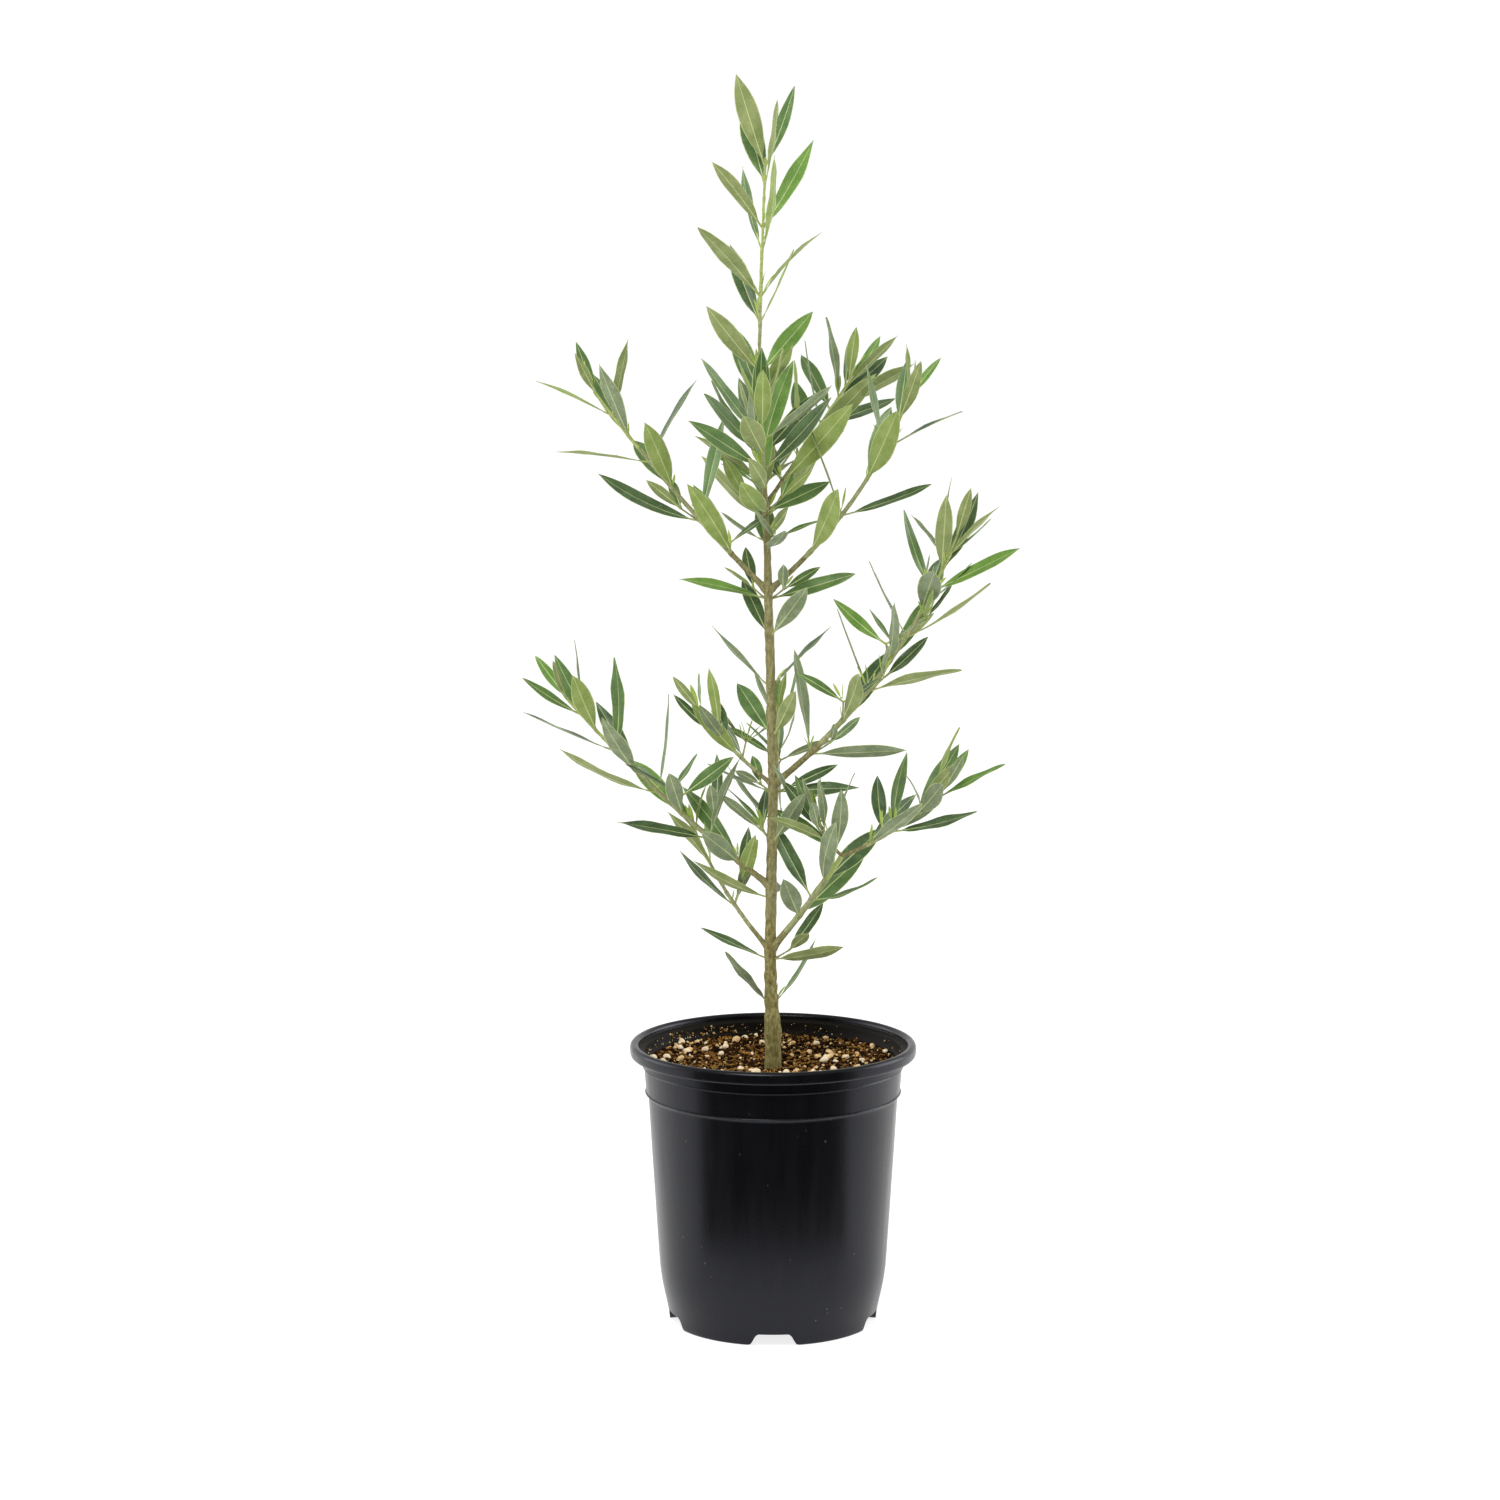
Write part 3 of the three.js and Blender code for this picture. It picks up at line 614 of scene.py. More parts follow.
def pair(chance, point, stem, side, spread, length, reach, age):
    axis = (stem + UP * LIFT).normalized()
    spun = swung(side, stem, chance.around(SPIN))
    for sign in (1, -1):
        angle = math.radians(spread + chance.around(HABIT["shoot"]["spread"]))
        out = square_to(spun * sign, axis)
        way = (axis * math.cos(angle) + out * math.sin(angle)).normalized()
        root = point + square_to(out, stem) * reach
        yield leaf_of(chance, root, way, axis, length, HABIT["shoot"], age)


print("a pair spins up to", SPIN, "degrees about its stem")

# %% Leaves of the shoots
# From the tip back: shares of the full size, and spreads in degrees
TIP_SIZES = (0.55, 0.76, 0.92, 1)
TIP_SPREADS = (20, 31, 40, 46)
FULL_AGE = 4                     # every older pair is finished alike
LEAST_INTERNODE = 7
END_REACH = 0.5                  # a pair may stand this far past the tip
END_CLEAR = 3                    # the tip gets a pair of its own if none stands this near


def pair_places(spec):
    if "pairs" in spec:
        return list(spec["pairs"])
    places, gap, s = [], spec["first"], spec["first"]
    while s < spec["length"] + END_REACH:
        places.append(s)
        gap = max(gap * spec["ratio"], LEAST_INTERNODE)
        s += gap
    if spec["length"] - places[-1] > END_CLEAR:
        places.append(spec["length"])
    return places


def crosswise(way, k):
    across = way.cross(UP).normalized()
    return across if k % 2 == 0 else across.cross(way).normalized()


def shoot_leaves(spec, points):
    chance = Chance(spec["seed"])
    places = pair_places(spec)
    for k, s in enumerate(places):
        point, way = along(points, spec["length"], s)
        age = min(len(places) - 1 - k, len(TIP_SIZES) - 1)
        spread, size = TIP_SPREADS[age], TIP_SIZES[age]
        if "pairs" in spec:
            spread, size, age = spec["spread"], 1, spec.get("age", FULL_AGE)
        side = crosswise(way, k + spec.get("upright", 0))
        reach = mix(*spec["thick"], s / spec["length"]) / 2 * SEAT
        yield from pair(chance, point, way, side, spread, spec["leaf"] * size, reach, age)


leaves = []
for name, spec in {**SHOOTS, **FORKS}.items():
    leaves += shoot_leaves(spec, PATHS[name])
print("leaves on the shoots:", len(leaves))

# %% Leaves of the trunk
# Pairs stand on the trunk two by two. The two come close together near the top.
TOP_PAIR_HEIGHT = 663.5
COUPLES = 10
LEADER_COUPLES = 5
COUPLE_STEP = 34.5
COUPLE_GROWTH = 1.9
TIGHT_COUPLES = 4
TIGHT_GAP = 10
TIGHT_GAP_GROWTH = 2
WIDE_GAP = 29
AXIL_DROP = 4                    # a leaf sits this far under the shoot of its axil
AXIL_REACH = 4                   # a shoot this near in height belongs to the pair
TRUNK_PAIR = {"seed": 949, "turn": 34, "spread": 28, "slope": 0.13, "axil": 28, "leaf": 54}
SPREAD_DEPTH = 170               # the spread stops growing this far below the top
LEAF_LOSS = 0.02                 # leaves shorten by this share of the depth
TOP_PAIR_SIZE = 0.9


def trunk_pairs():
    for couple in range(COUPLES):
        top = TOP_PAIR_HEIGHT - COUPLE_STEP * couple - COUPLE_GROWTH * couple * (couple - 1)
        gap = TIGHT_GAP + TIGHT_GAP_GROWTH * couple if couple < TIGHT_COUPLES else WIDE_GAP
        for second in (0, 1):
            yield couple, top - gap * second, second if couple < LEADER_COUPLES else 1 - second


def trunk_leaves():
    chance = Chance(TRUNK_PAIR["seed"])
    habit = HABIT["trunk"]
    for couple, height, quarter in trunk_pairs():
        here = [spec for spec in SHOOTS.values() if abs(spec["height"] - height) < AXIL_REACH]
        turn = TRUNK_PAIR["turn"] + 90 * quarter
        azimuths = [turn, turn + 180]
        if len(here) == 1:
            azimuths = [here[0]["azimuth"][0], here[0]["azimuth"][0] + 180]
        if len(here) == 2:
            azimuths = [spec["azimuth"][0] for spec in here]
        point, radius = trunk_at(height - (AXIL_DROP if here else 0))
        drop = TOP_PAIR_HEIGHT - height
        opening = TRUNK_PAIR["spread"] + min(drop, SPREAD_DEPTH) * TRUNK_PAIR["slope"]
        spread = opening + (TRUNK_PAIR["axil"] if here else 0)
        length = (TRUNK_PAIR["leaf"] - LEAF_LOSS * drop) * (TOP_PAIR_SIZE if couple == 0 else 1)
        age = min(couple, FULL_AGE) + 0.5
        for azimuth in azimuths:
            angle = spread + chance.around(habit["spread"])
            way = aim(azimuth + chance.around(habit["azimuth"]), angle)
            root = point + square_to(way, UP) * radius * SEAT
            yield leaf_of(chance, root, way, UP, length, habit, age)


leaves += trunk_leaves()
print("leaves in all:", len(leaves))

# %% [markdown]
# ## Finer growth
#
# The solids stop at the last full pair. On the real shoot a tight pair of new leaves follows, still
# folded together. Some axils carry two tiny leaves of the next shoot, and some older ones a short
# spur with a pair of small leaves, which thickens the crown. They could be scattered at random, but
# here each one starts in the axil of a leaf made before, so none hangs in the air. Each kind has a
# chance of its own.

# %% Spurs in the axils of older leaves
# A spur leans from its leaf toward the light
SPUR_SHARE = 0.36
SPUR_LEAST_AGE = 2
SPUR_HEIGHTS = (200, 480)
SPUR_LENGTHS = (6, 15)
SPUR_LEAVES = (26, 38)
SPUR_LEAN = 0.4
SPUR_SWING = 80
SPUR_HABIT = {"spread": 47, "age": 3, "thick": (1.2, 0.9), "height": 0}
SPURS = {}
luck = Chance(58)
for leaf in list(leaves):
    if leaf["age"] < SPUR_LEAST_AGE or not SPUR_HEIGHTS[0] < leaf["root"].z < SPUR_HEIGHTS[1]:
        continue
    if luck.next() < SPUR_SHARE:
        name = f"spur_{len(SPURS)}"
        length = luck.between(*SPUR_LENGTHS)
        lean = (leaf["way"] * (1 - SPUR_LEAN) + UP * SPUR_LEAN).normalized()
        way = swung(lean, leaf["way"], luck.around(SPUR_SWING))
        SPURS[name] = {**SPUR_HABIT, "length": length, "pairs": [length],
                       "leaf": luck.between(*SPUR_LEAVES), "seed": len(SPURS) + 1}
        PATHS[name] = [leaf["root"] + way * length * share for share in (0, 0.5, 1)]
        leaves += shoot_leaves(SPURS[name], PATHS[name])
print("spurs:", len(SPURS), "leaves in all:", len(leaves))

# %% New leaves at the tips and in the axils
NEW_AGE = -1
# Spread, length as a share of a full leaf's, and distance from the stem's middle
OUTER_NEW = (9, 0.3, 0.3)
INNER_NEW = (5, 0.17, 0.2)
BUD_SHARE = 0.34
BUD_LEAST_AGE = 1
BUD_PLACE = (0.6, 1.2)           # along the leaf and above its root
BUD_LIFT = 0.9
BUD_SPREAD = 20
BUD_LEAVES = (7, 13)
BUD_REACH = 0.2
fine = Chance(31)
tips = [(along(PATHS[name], spec["length"], spec["length"]), spec["leaf"])
        for name, spec in {**SHOOTS, **FORKS}.items() if name != "lowest_right"]
tips.append(((trunk_at(TRUNK_TOP)[0], UP), TRUNK_PAIR["leaf"]))
small = []
for (point, way), size in tips:
    side = swung(crosswise(way, 0), way, fine.around(90))
    for (spread, share, reach), turn in ((OUTER_NEW, 0), (INNER_NEW, 90)):
        small += pair(fine, point, way, swung(side, way, turn), spread, size * share, reach, NEW_AGE)

for leaf in list(leaves):
    if leaf["age"] > BUD_LEAST_AGE and fine.next() < BUD_SHARE:
        bud_way = (leaf["way"] + UP * BUD_LIFT).normalized()
        start = leaf["root"] + leaf["way"] * BUD_PLACE[0] + UP * BUD_PLACE[1]
        side = square_to(leaf["face"], bud_way)
        small += pair(fine, start, bud_way, side, BUD_SPREAD, fine.between(*BUD_LEAVES), BUD_REACH, NEW_AGE)
leaves += small
print("small leaves:", len(small))

# %% [markdown]
# ## The shape of a leaf
#
# The blade is a long ellipse with a short stalk and a sharp tip. It is folded a little along the
# midrib, its edges roll under, and it arches. It could be a flat plane with a texture, but an
# opaque mesh with its own outline catches light along the fold and stays sharp from close by. One
# template of stations is bent to each leaf with array arithmetic, which is quick.

# %% Leaf template
# Place along the leaf and half width as a share of the widest
OUTLINE = np.array([
    (0.0, 0.07), (0.05, 0.07), (0.085, 0.1), (0.12, 0.2), (0.17, 0.38), (0.24, 0.6), (0.33, 0.81),
    (0.43, 0.95), (0.53, 1.0), (0.63, 0.98), (0.72, 0.88), (0.8, 0.72), (0.87, 0.52), (0.93, 0.3),
    (0.975, 0.11), (1.0, 0.012),
])
STALK_STATIONS = 3

# One ring of points: across the upper side from edge to edge, then back across the lower side
ACROSS = np.array([-1, -0.93, -0.5, -0.1, 0, 0.1, 0.5, 0.93, 1, 0.93, 0.5, 0.1, 0, -0.1, -0.5, -0.93])
UPPER_POINTS = 9
IS_RIB = np.isclose(abs(ACROSS), 0.1)
BACK = np.arange(len(ACROSS)) >= UPPER_POINTS
RING = len(ACROSS)
STATIONS = len(OUTLINE)

template = []
template_kind = []
for i in range(STATIONS - 1):
    for j in range(RING):
        k = (j + 1) % RING
        template.append([i * RING + j, i * RING + k, (i + 1) * RING + k, (i + 1) * RING + j])
        rib = abs(ACROSS[j]) <= 0.11 and abs(ACROSS[k]) <= 0.11
        # The outer strip along the leaf's margin gets the pale midrib finish, a painted edge highlight
        edge_highlight = abs(ACROSS[j]) + abs(ACROSS[k]) > 1.9
        side = "front" if j < UPPER_POINTS - 1 else "back"
        template_kind.append("stalk" if i < STALK_STATIONS - 1 else "rib" if rib or edge_highlight else side)
template.append(list(range(RING)))
template.append(list(range((STATIONS - 1) * RING, STATIONS * RING))[::-1])
template_kind += ["stalk", "front"]
print("faces in one leaf:", len(template))

# %% Cross-sections of a leaf
SLENDERNESS = 4.1
BREADTHS = (0.78, 1.0)           # a leaf's breadth differs within these shares
STALK_HALF = 0.65
STALK_END = 0.1                  # as a share of the leaf's length
RIB_HALF = 0.33
LEAF_HALF_THICK = 0.16
FOLD = 0.16
ROLL_START = 0.8                 # the edges roll under from this share of the half width
ROLL_DEPTH = 0.05
WAVE_HEIGHTS = (0.2, 0.55)
WAVE_TURNS = (10, 16)            # radians from the stalk to the tip
FULL_WAVE_LENGTH = 50            # shorter leaves wave less
GROOVE_DEPTH = 0.14
RIDGE_HEIGHT = 0.3
RIDGE_WIDTH = 0.5
YOUNG_SHARES = {"breadth": 0.8, "stalk": 0.55, "rib": 0.5}
GROWN_SHARES = {"breadth": 1, "stalk": 1, "rib": 1}


def sections(leaf, chance):
    place, share = OUTLINE[:, 0], OUTLINE[:, 1]
    length = leaf["length"]
    growth = YOUNG_SHARES if leaf["age"] < 0 else GROWN_SHARES
    widest = length / SLENDERNESS / 2 * chance.between(*BREADTHS) * growth["breadth"]
    stalk = STALK_HALF * growth["stalk"]
    half = np.maximum(widest * share, np.where(place < STALK_END, stalk, 0.03))
    rib = np.minimum(RIB_HALF * (1.1 - 0.8 * place), half * 0.45) * growth["rib"]
    x = np.where(IS_RIB, np.sign(ACROSS) * rib[:, None], ACROSS * half[:, None])
    reach = np.clip(abs(x) / half[:, None], 0, 1)
    rim = np.clip((reach - ROLL_START) / (1 - ROLL_START), 0, 1)
    blade_share = np.clip((place - 0.08) / 0.1, 0, 1)[:, None]
    rise = FOLD * abs(x) * blade_share - ROLL_DEPTH * half[:, None] * rim
    wave = (chance.between(*WAVE_HEIGHTS)
            * np.sin(place * chance.between(*WAVE_TURNS) + chance.between(0, 6)))
    rise = rise + (wave[:, None] * reach ** 2 * np.sign(x) * blade_share * min(1, length / FULL_WAVE_LENGTH))
    thick = np.where(place < STALK_END, stalk * 0.75, LEAF_HALF_THICK)[:, None] * (1 - 0.75 * reach ** 2)
    middle = np.exp(-(x / RIDGE_WIDTH) ** 2) * blade_share
    ridge = RIDGE_HEIGHT * middle * (1 - 0.7 * place)[:, None]
    return x, rise + np.where(BACK, -thick - ridge, thick - GROOVE_DEPTH * middle)


print("half width of the first leaf:", round(sections(leaves[0], Chance(5))[0].max(), 1), "mm")

# %% Bending the template
BEND = 2.4                       # rise of the tip for each unit of arch
TWIST = 16
DRIFT = 0.035


def blade(leaf, chance):
    place, length = OUTLINE[:, 0], leaf["length"]
    x, y = sections(leaf, chance)
    way, face = np.array(leaf["way"]), np.array(leaf["face"])
    side = np.cross(face, way)
    twist = np.radians(chance.around(TWIST)) * place
    across = np.outer(np.cos(twist), side) + np.outer(np.sin(twist), face)
    upper = np.outer(np.cos(twist), face) - np.outer(np.sin(twist), side)
    rise_of_tip = leaf["arch"] * length * BEND
    drift = chance.around(DRIFT) * length
    spine = (np.array(leaf["root"]) + np.outer(place * length, way)
             + np.outer(rise_of_tip * place ** 2, face) + np.outer(drift * place ** 2, side))
    points = spine[:, None, :] + across[:, None, :] * x[..., None] + upper[:, None, :] * y[..., None]
    return points.reshape(-1, 3)


sample = blade(leaves[0], Chance(5))
print("first leaf:", round(leaves[0]["length"], 1), "mm long,", len(sample), "points")

# %% [markdown]
# ## Leaf finishes
#
# The upper side of an olive leaf has a thick wax layer: dark green with a soft gloss. The back
# wears a felt of tiny silvery scales, which makes it pale sage and matt. Young leaves are
# thinner and more yellow. Each kind has a few plain base colours that are dealt out leaf by leaf, with a
# faint mottle. Plant tissue has an IOR of about 1.45.

# %% Waxy upper side and felted back
LEAF_MOTTLE = 9
SCALE_SIZE = 1.8                 # real scales are 0.15 mm and would not show


def leaf_finish(name, colour, second, roughness, fleck, fleck_share, sheen):
    material, tree, shader, place = surface(
        name, **{"IOR": 1.45, "Roughness": roughness, "Sheen Weight": sheen, "Sheen Roughness": 0.4}
    )
    mottle = add(tree, "ShaderNodeTexNoise", {"Scale": per_mm(LEAF_MOTTLE), "Detail": 3.0},
                 {"Vector": place})
    body = add(tree, "ShaderNodeValToRGB", {"stops": [(0.38, linear(colour)), (0.62, linear(second))]},
               {"Fac": mottle.outputs["Fac"]})
    scales = add(tree, "ShaderNodeTexNoise", {"Scale": per_mm(SCALE_SIZE), "Detail": 2.0},
                 {"Vector": place})
    some = add(tree, "ShaderNodeMapRange",
               {"From Min": 0.55, "From Max": 0.75, "To Min": 0.0, "To Max": fleck_share},
               {"Value": scales.outputs["Fac"]})
    flecked = add(tree, "ShaderNodeMix", {"data_type": "RGBA", 7: linear(fleck)},
                  {0: some.outputs[0], 6: body.outputs[0]})
    bump = add(tree, "ShaderNodeBump", {"Strength": 0.25, "Distance": 0.05 * MM},
               {"Height": scales.outputs["Fac"]})
    tree.links.new(flecked.outputs[2], shader.inputs["Base Color"])
    tree.links.new(bump.outputs[0], shader.inputs["Normal"])
    return material


LEAF_FINISHES = {
    "front_deep": leaf_finish("waxy_leaf_deep", "#425a36", "#526c42", 0.4, "#8a9c74", 0.3, 0.0),
    "front_mid": leaf_finish("waxy_leaf_green", "#517039", "#628145", 0.42, "#93aa70", 0.28, 0.0),
    "front_fresh": leaf_finish("waxy_leaf_fresh", "#618a38", "#739a44", 0.44, "#9db66c", 0.25, 0.0),
    "back_grey": leaf_finish("felted_leaf_grey", "#738260", "#879471", 0.8, "#b0ba98", 0.4, 0.1),
    "back_sage": leaf_finish("felted_leaf_sage", "#7f8c52", "#909b62", 0.78, "#adb586", 0.35, 0.08),
    "back_fresh": leaf_finish("felted_leaf_fresh", "#82964a", "#92a45a", 0.75, "#b6c27c", 0.3, 0.08),
    "young": leaf_finish("young_leaf", "#95b03e", "#abc24e", 0.48, "#c4d07c", 0.25, 0.0),
    # Besides the midrib, this pale finish lies along each leaf's margin as a painted edge highlight
    "rib": leaf_finish("leaf_midrib_and_edge_highlight", "#b4c27e", "#c6d092", 0.6, "#d4daae", 0.3, 0.0),
    "stalk": leaf_finish("leaf_stalk", "#99a45c", "#a8b168", 0.6, "#bcc18a", 0.3, 0.0),
}
print("leaf finishes:", len(LEAF_FINISHES))

# %% [markdown]
# Age decides the finish. The tips of shoots are a little fresher, and the leaves behind them are dark
# with a greyer back. The leader at the top is this year's growth and is the freshest.

# %% Dealing out the finishes
ORDER = list(LEAF_FINISHES)
FRESH_FROM = 240                 # leaves are darkest up to this height
FRESH_OVER = 400
FRESH_SHARES = (0.04, 0.6)
TIP_FRESHNESS = 0.22             # added near the tip of a shoot
FRESHEST = 0.7
MIDDLE = 0.3


def shades(leaf, chance):
    if leaf["age"] < 0:
        return "young", "young"
    rise = min(max((leaf["root"].z - FRESH_FROM) / FRESH_OVER, 0), 1)
    fresh = mix(*FRESH_SHARES, rise) + (TIP_FRESHNESS if leaf["age"] < 2 else 0)
    shade = []
    for kinds in (("front_fresh", "front_mid", "front_deep"), ("back_fresh", "back_sage", "back_grey")):
        draw = chance.next()
        shade.append(kinds[0 if draw < fresh * FRESHEST else 1 if draw < fresh + MIDDLE else 2])
    return shade


def grow(name, chosen, replaces):
    chance = Chance(77)
    points, faces, dealt = [], [], []
    for n, leaf in enumerate(chosen):
        first = n * RING * STATIONS
        points.append(blade(leaf, chance))
        faces += [[first + v for v in face] for face in template]
        front, back = shades(leaf, chance)
        kinds = {"front": ORDER.index(front), "back": ORDER.index(back),
                 "rib": ORDER.index("rib"), "stalk": ORDER.index("stalk")}
        dealt += [kinds[kind] for kind in template_kind]
    return piece(name, np.concatenate(points), faces, LEAF_FINISHES.values(), dealt, replaces)


masses = sorted(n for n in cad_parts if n.startswith("foliage_"))
pairs = sorted(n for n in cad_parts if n.startswith("leaf_pair_"))
grow("leaves", [leaf for leaf in leaves if leaf["age"] >= 0], masses + pairs)
grow("new_leaves", [leaf for leaf in leaves if leaf["age"] < 0], ())

# %% [markdown]
# ## Bark
#
# The bark of a young olive is thin and khaki, with fine cracks along the limb and pale cork spots.
# On the green twigs it is smooth. The relief is made in the mesh: each ring of the tube is
# pushed in and out by a noise that is stretched upright, and swells where a pair stands.

# %% Tube with relief
CRACK_SCALE = 1.1
LUMP_SCALE = 0.35
CRACK_SHARE = 0.9
LUMP_SHARE = 0.8


def tube(points, radii, sides, relief, cracks):
    spine = [Vector(p) for p in points]
    rings = []
    across = Vector((1, 0, 0))
    for i, point in enumerate(spine):
        ahead = spine[min(i + 1, len(spine) - 1)] - spine[max(i - 1, 0)]
        way = ahead.normalized()
        across = square_to(across, way)
        other = way.cross(across)
        for j in range(sides):
            turn = 2 * math.pi * j / sides
            out = across * math.cos(turn) + other * math.sin(turn)
            at = point + out * radii[i]
            crack = noise.noise(Vector((at.x, at.y, at.z / cracks)) * CRACK_SCALE)
            lump = noise.noise(at * LUMP_SCALE)
            rings.append(at + out * (relief * (CRACK_SHARE * crack + LUMP_SHARE * lump)))
    faces = []
    for i in range(len(spine) - 1):
        for j in range(sides):
            k = (j + 1) % sides
            faces.append([i * sides + j, i * sides + k, (i + 1) * sides + k, (i + 1) * sides + j])
    last = (len(spine) - 1) * sides
    faces.append(list(range(sides))[::-1])
    faces.append([last + j for j in range(sides)])
    return rings, faces


demo = tube([(0, 0, 0), (0, 0, 5)], [2, 2], 8, 0.1, 6)
print("points in a short tube:", len(demo[0]))

# %% Olive bark
CRACK_WIDTH = 1.6
CORK_SPOTS = 2.6


def bark_finish(name, colours, fleck, roughness, squeeze, depth):
    material, tree, shader, place = surface(name, **{"IOR": 1.4, "Roughness": roughness})
    tall = add(tree, "ShaderNodeMapping", {"Scale": (1, 1, squeeze)}, {"Vector": place})
    cracks = add(tree, "ShaderNodeTexNoise", {"Scale": per_mm(CRACK_WIDTH), "Detail": 5.0, "Roughness": 0.65},
                 {"Vector": tall.outputs[0]})
    body = add(tree, "ShaderNodeValToRGB",
               {"stops": list(zip((0.32, 0.5, 0.68), map(linear, colours)))},
               {"Fac": cracks.outputs["Fac"]})
    corks = add(tree, "ShaderNodeTexVoronoi", {"Scale": per_mm(CORK_SPOTS)}, {"Vector": place})
    spot = add(tree, "ShaderNodeMapRange",
               {"From Min": 0.12, "From Max": 0.26, "To Min": 0.55, "To Max": 0.0},
               {"Value": corks.outputs["Distance"]})
    flecked = add(tree, "ShaderNodeMix", {"data_type": "RGBA", 7: linear(fleck)},
                  {0: spot.outputs[0], 6: body.outputs[0]})
    bump = add(tree, "ShaderNodeBump", {"Strength": 0.6, "Distance": depth * MM},
               {"Height": cracks.outputs["Fac"]})
    tree.links.new(flecked.outputs[2], shader.inputs["Base Color"])
    tree.links.new(bump.outputs[0], shader.inputs["Normal"])
    return material


old_bark = bark_finish("olive_bark_old", ["#5a5227", "#827946", "#a29a66"], "#b3ab7c", 0.85, 0.4, 0.25)
bark = bark_finish("olive_bark", ["#6a653d", "#857f54", "#9c9668"], "#b0aa80", 0.8, 0.4, 0.15)
young_bark = bark_finish("olive_twig_bark", ["#7f8256", "#96996b", "#a8aa7c"], "#bcbd95", 0.7, 0.6, 0.08)
green_bark = bark_finish("olive_green_twig", ["#95a35a", "#a6b267", "#b4be78"], "#c3ca92", 0.6, 1.0, 0.05)
BARKS = [old_bark, bark, young_bark, green_bark]
print("bark finishes:", len(BARKS))

# %% Trunk
TRUNK_SIDES = 30
TRUNK_STEP = 1.4
TRUNK_RELIEF = 0.32
TRUNK_CRACKS = 7                 # a crack is this many times as long as it is wide
TRUNK_SWELLING = (0.13, 2.2)     # share of the radius, and half its length
OLD_SCARS = [178, 190, 202]      # heights where the first leaves have fallen
BARK_CHANGES = (235, 470, 585)   # heights where the bark turns younger

heights = np.arange(TRUNK[0][0], TRUNK_TOP + TRUNK_STEP / 2, TRUNK_STEP)
node_heights = [height for _, height, _ in trunk_pairs()] + OLD_SCARS


def swelling(distance, places, share, width):
    return share * sum(math.exp(-((distance - p) / width) ** 2) for p in places)


trunk_rows = [trunk_at(z) for z in heights]
trunk_radii = [r * (1 + swelling(z, node_heights, *TRUNK_SWELLING)) for z, (_, r) in zip(heights, trunk_rows)]
trunk_points, trunk_faces = tube([p for p, _ in trunk_rows], trunk_radii, TRUNK_SIDES,
                                 TRUNK_RELIEF, TRUNK_CRACKS)


def trunk_bark(height):
    return sum(height >= change for change in BARK_CHANGES)


face_height = np.repeat(heights[:-1], TRUNK_SIDES)
dealt = [trunk_bark(z) for z in face_height] + [0, len(BARKS) - 1]
piece("trunk_bark", trunk_points, trunk_faces, BARKS, dealt, ["trunk"])

# %% [markdown]
# A side shoot swells where it leaves the trunk, which is the branch collar. The shoot's tube starts on
# the trunk's axis, so the two meshes run into each other with no gap.

# %% Boughs and twigs
LIMB_STEP = 1.5
LIMB_SIDES = 14
LIMB_RELIEF = 0.13
LIMB_CRACKS = 2.5
LIMB_SWELLING = (0.22, 1.3)
# How much thicker the foot is, as a share, how far that stays, and how it fades
BRANCH_COLLAR = (0.55, 3, 2.6)
TWIG_FOOT = (0.2, 0, 2)
BARE_END = 6                     # a bough ends this far before its first pair
YOUNG_FROM = 0.2                 # shares of a shoot's length where its bark changes
GREEN_FROM = 0.72
SHORT_SHOOT = 90                 # on shorter shoots the green starts later


def thicker(distance, share, straight, fade):
    return share * math.exp(-max(0, distance - straight) / fade)


def limb(name, spec, start, end, offset):
    count = max(2, round((end - start) / LIMB_STEP))
    distances = [mix(start, end, i / count) for i in range(count + 1)]
    nodes = pair_places(spec)
    radii = []
    for s in distances:
        radius = mix(*spec["thick"], s / spec["length"]) / 2
        foot = thicker(s, *(BRANCH_COLLAR if spec["height"] else TWIG_FOOT))
        radii.append(radius * (1 + foot + swelling(s, nodes, *LIMB_SWELLING)))
    spine = [along(PATHS[name], spec["length"], s)[0] for s in distances]
    points, faces = tube(spine, radii, LIMB_SIDES, LIMB_RELIEF, LIMB_CRACKS)
    green_from = GREEN_FROM / min(1, spec["length"] / SHORT_SHOOT) ** 0.3
    dealt = []
    for s in distances[:-1]:
        share = s / spec["length"]
        # By place in BARKS: green at the tip, young bark behind it, olive bark at the foot
        dealt += [3 if share > green_from else 2 if share > YOUNG_FROM else 1] * LIMB_SIDES
    dealt += [dealt[0], dealt[-1]]
    return points, [[offset + v for v in face] for face in faces], dealt


def joined(parts, name, replaces):
    points, faces, dealt = [], [], []
    for limb_name, spec, start, end in parts:
        more_points, more_faces, more_dealt = limb(limb_name, spec, start, end, len(points))
        points += more_points
        faces += more_faces
        dealt += more_dealt
    return piece(name, points, faces, BARKS, dealt, replaces)


bough_parts, twig_parts = [], []
for name, spec in SHOOTS.items():
    bare = spec["length"] if "pairs" in spec else spec["first"] - BARE_END
    bough_parts.append((name, spec, 0, bare))
    if "pairs" not in spec:
        twig_parts.append((name, spec, bare, spec["length"]))
for name, spec in {**FORKS, **SPURS}.items():
    twig_parts.append((name, spec, 0, spec["length"]))

boughs = sorted(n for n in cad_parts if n.startswith("bough_"))
joined(bough_parts, "bough_bark", boughs)
joined(twig_parts, "twigs", ())

# %% [markdown]
# ## Potting mix
#
# The mix is peat, composted bark and perlite. Seen from a step away it is a dark crumb with cream
# beads and tan splinters. A noise texture would look flat, so a rough surface carries thousands of
# small solids. Each kind is one mesh: a rough stone shape, scaled, turned and laid by chance.

# %% Surface of the mix
SOIL_LEVEL = 149
SOIL_RADIUS = 72.2
SOIL_DROP = 0.6                  # the crumbs that lie on the surface make up for it
# Distance from the trunk and rise of the surface above the middle
DISH = [(8, 0), (20, 0.4), (38, 1.8), (58, 3.4), (SOIL_RADIUS, 3.6)]
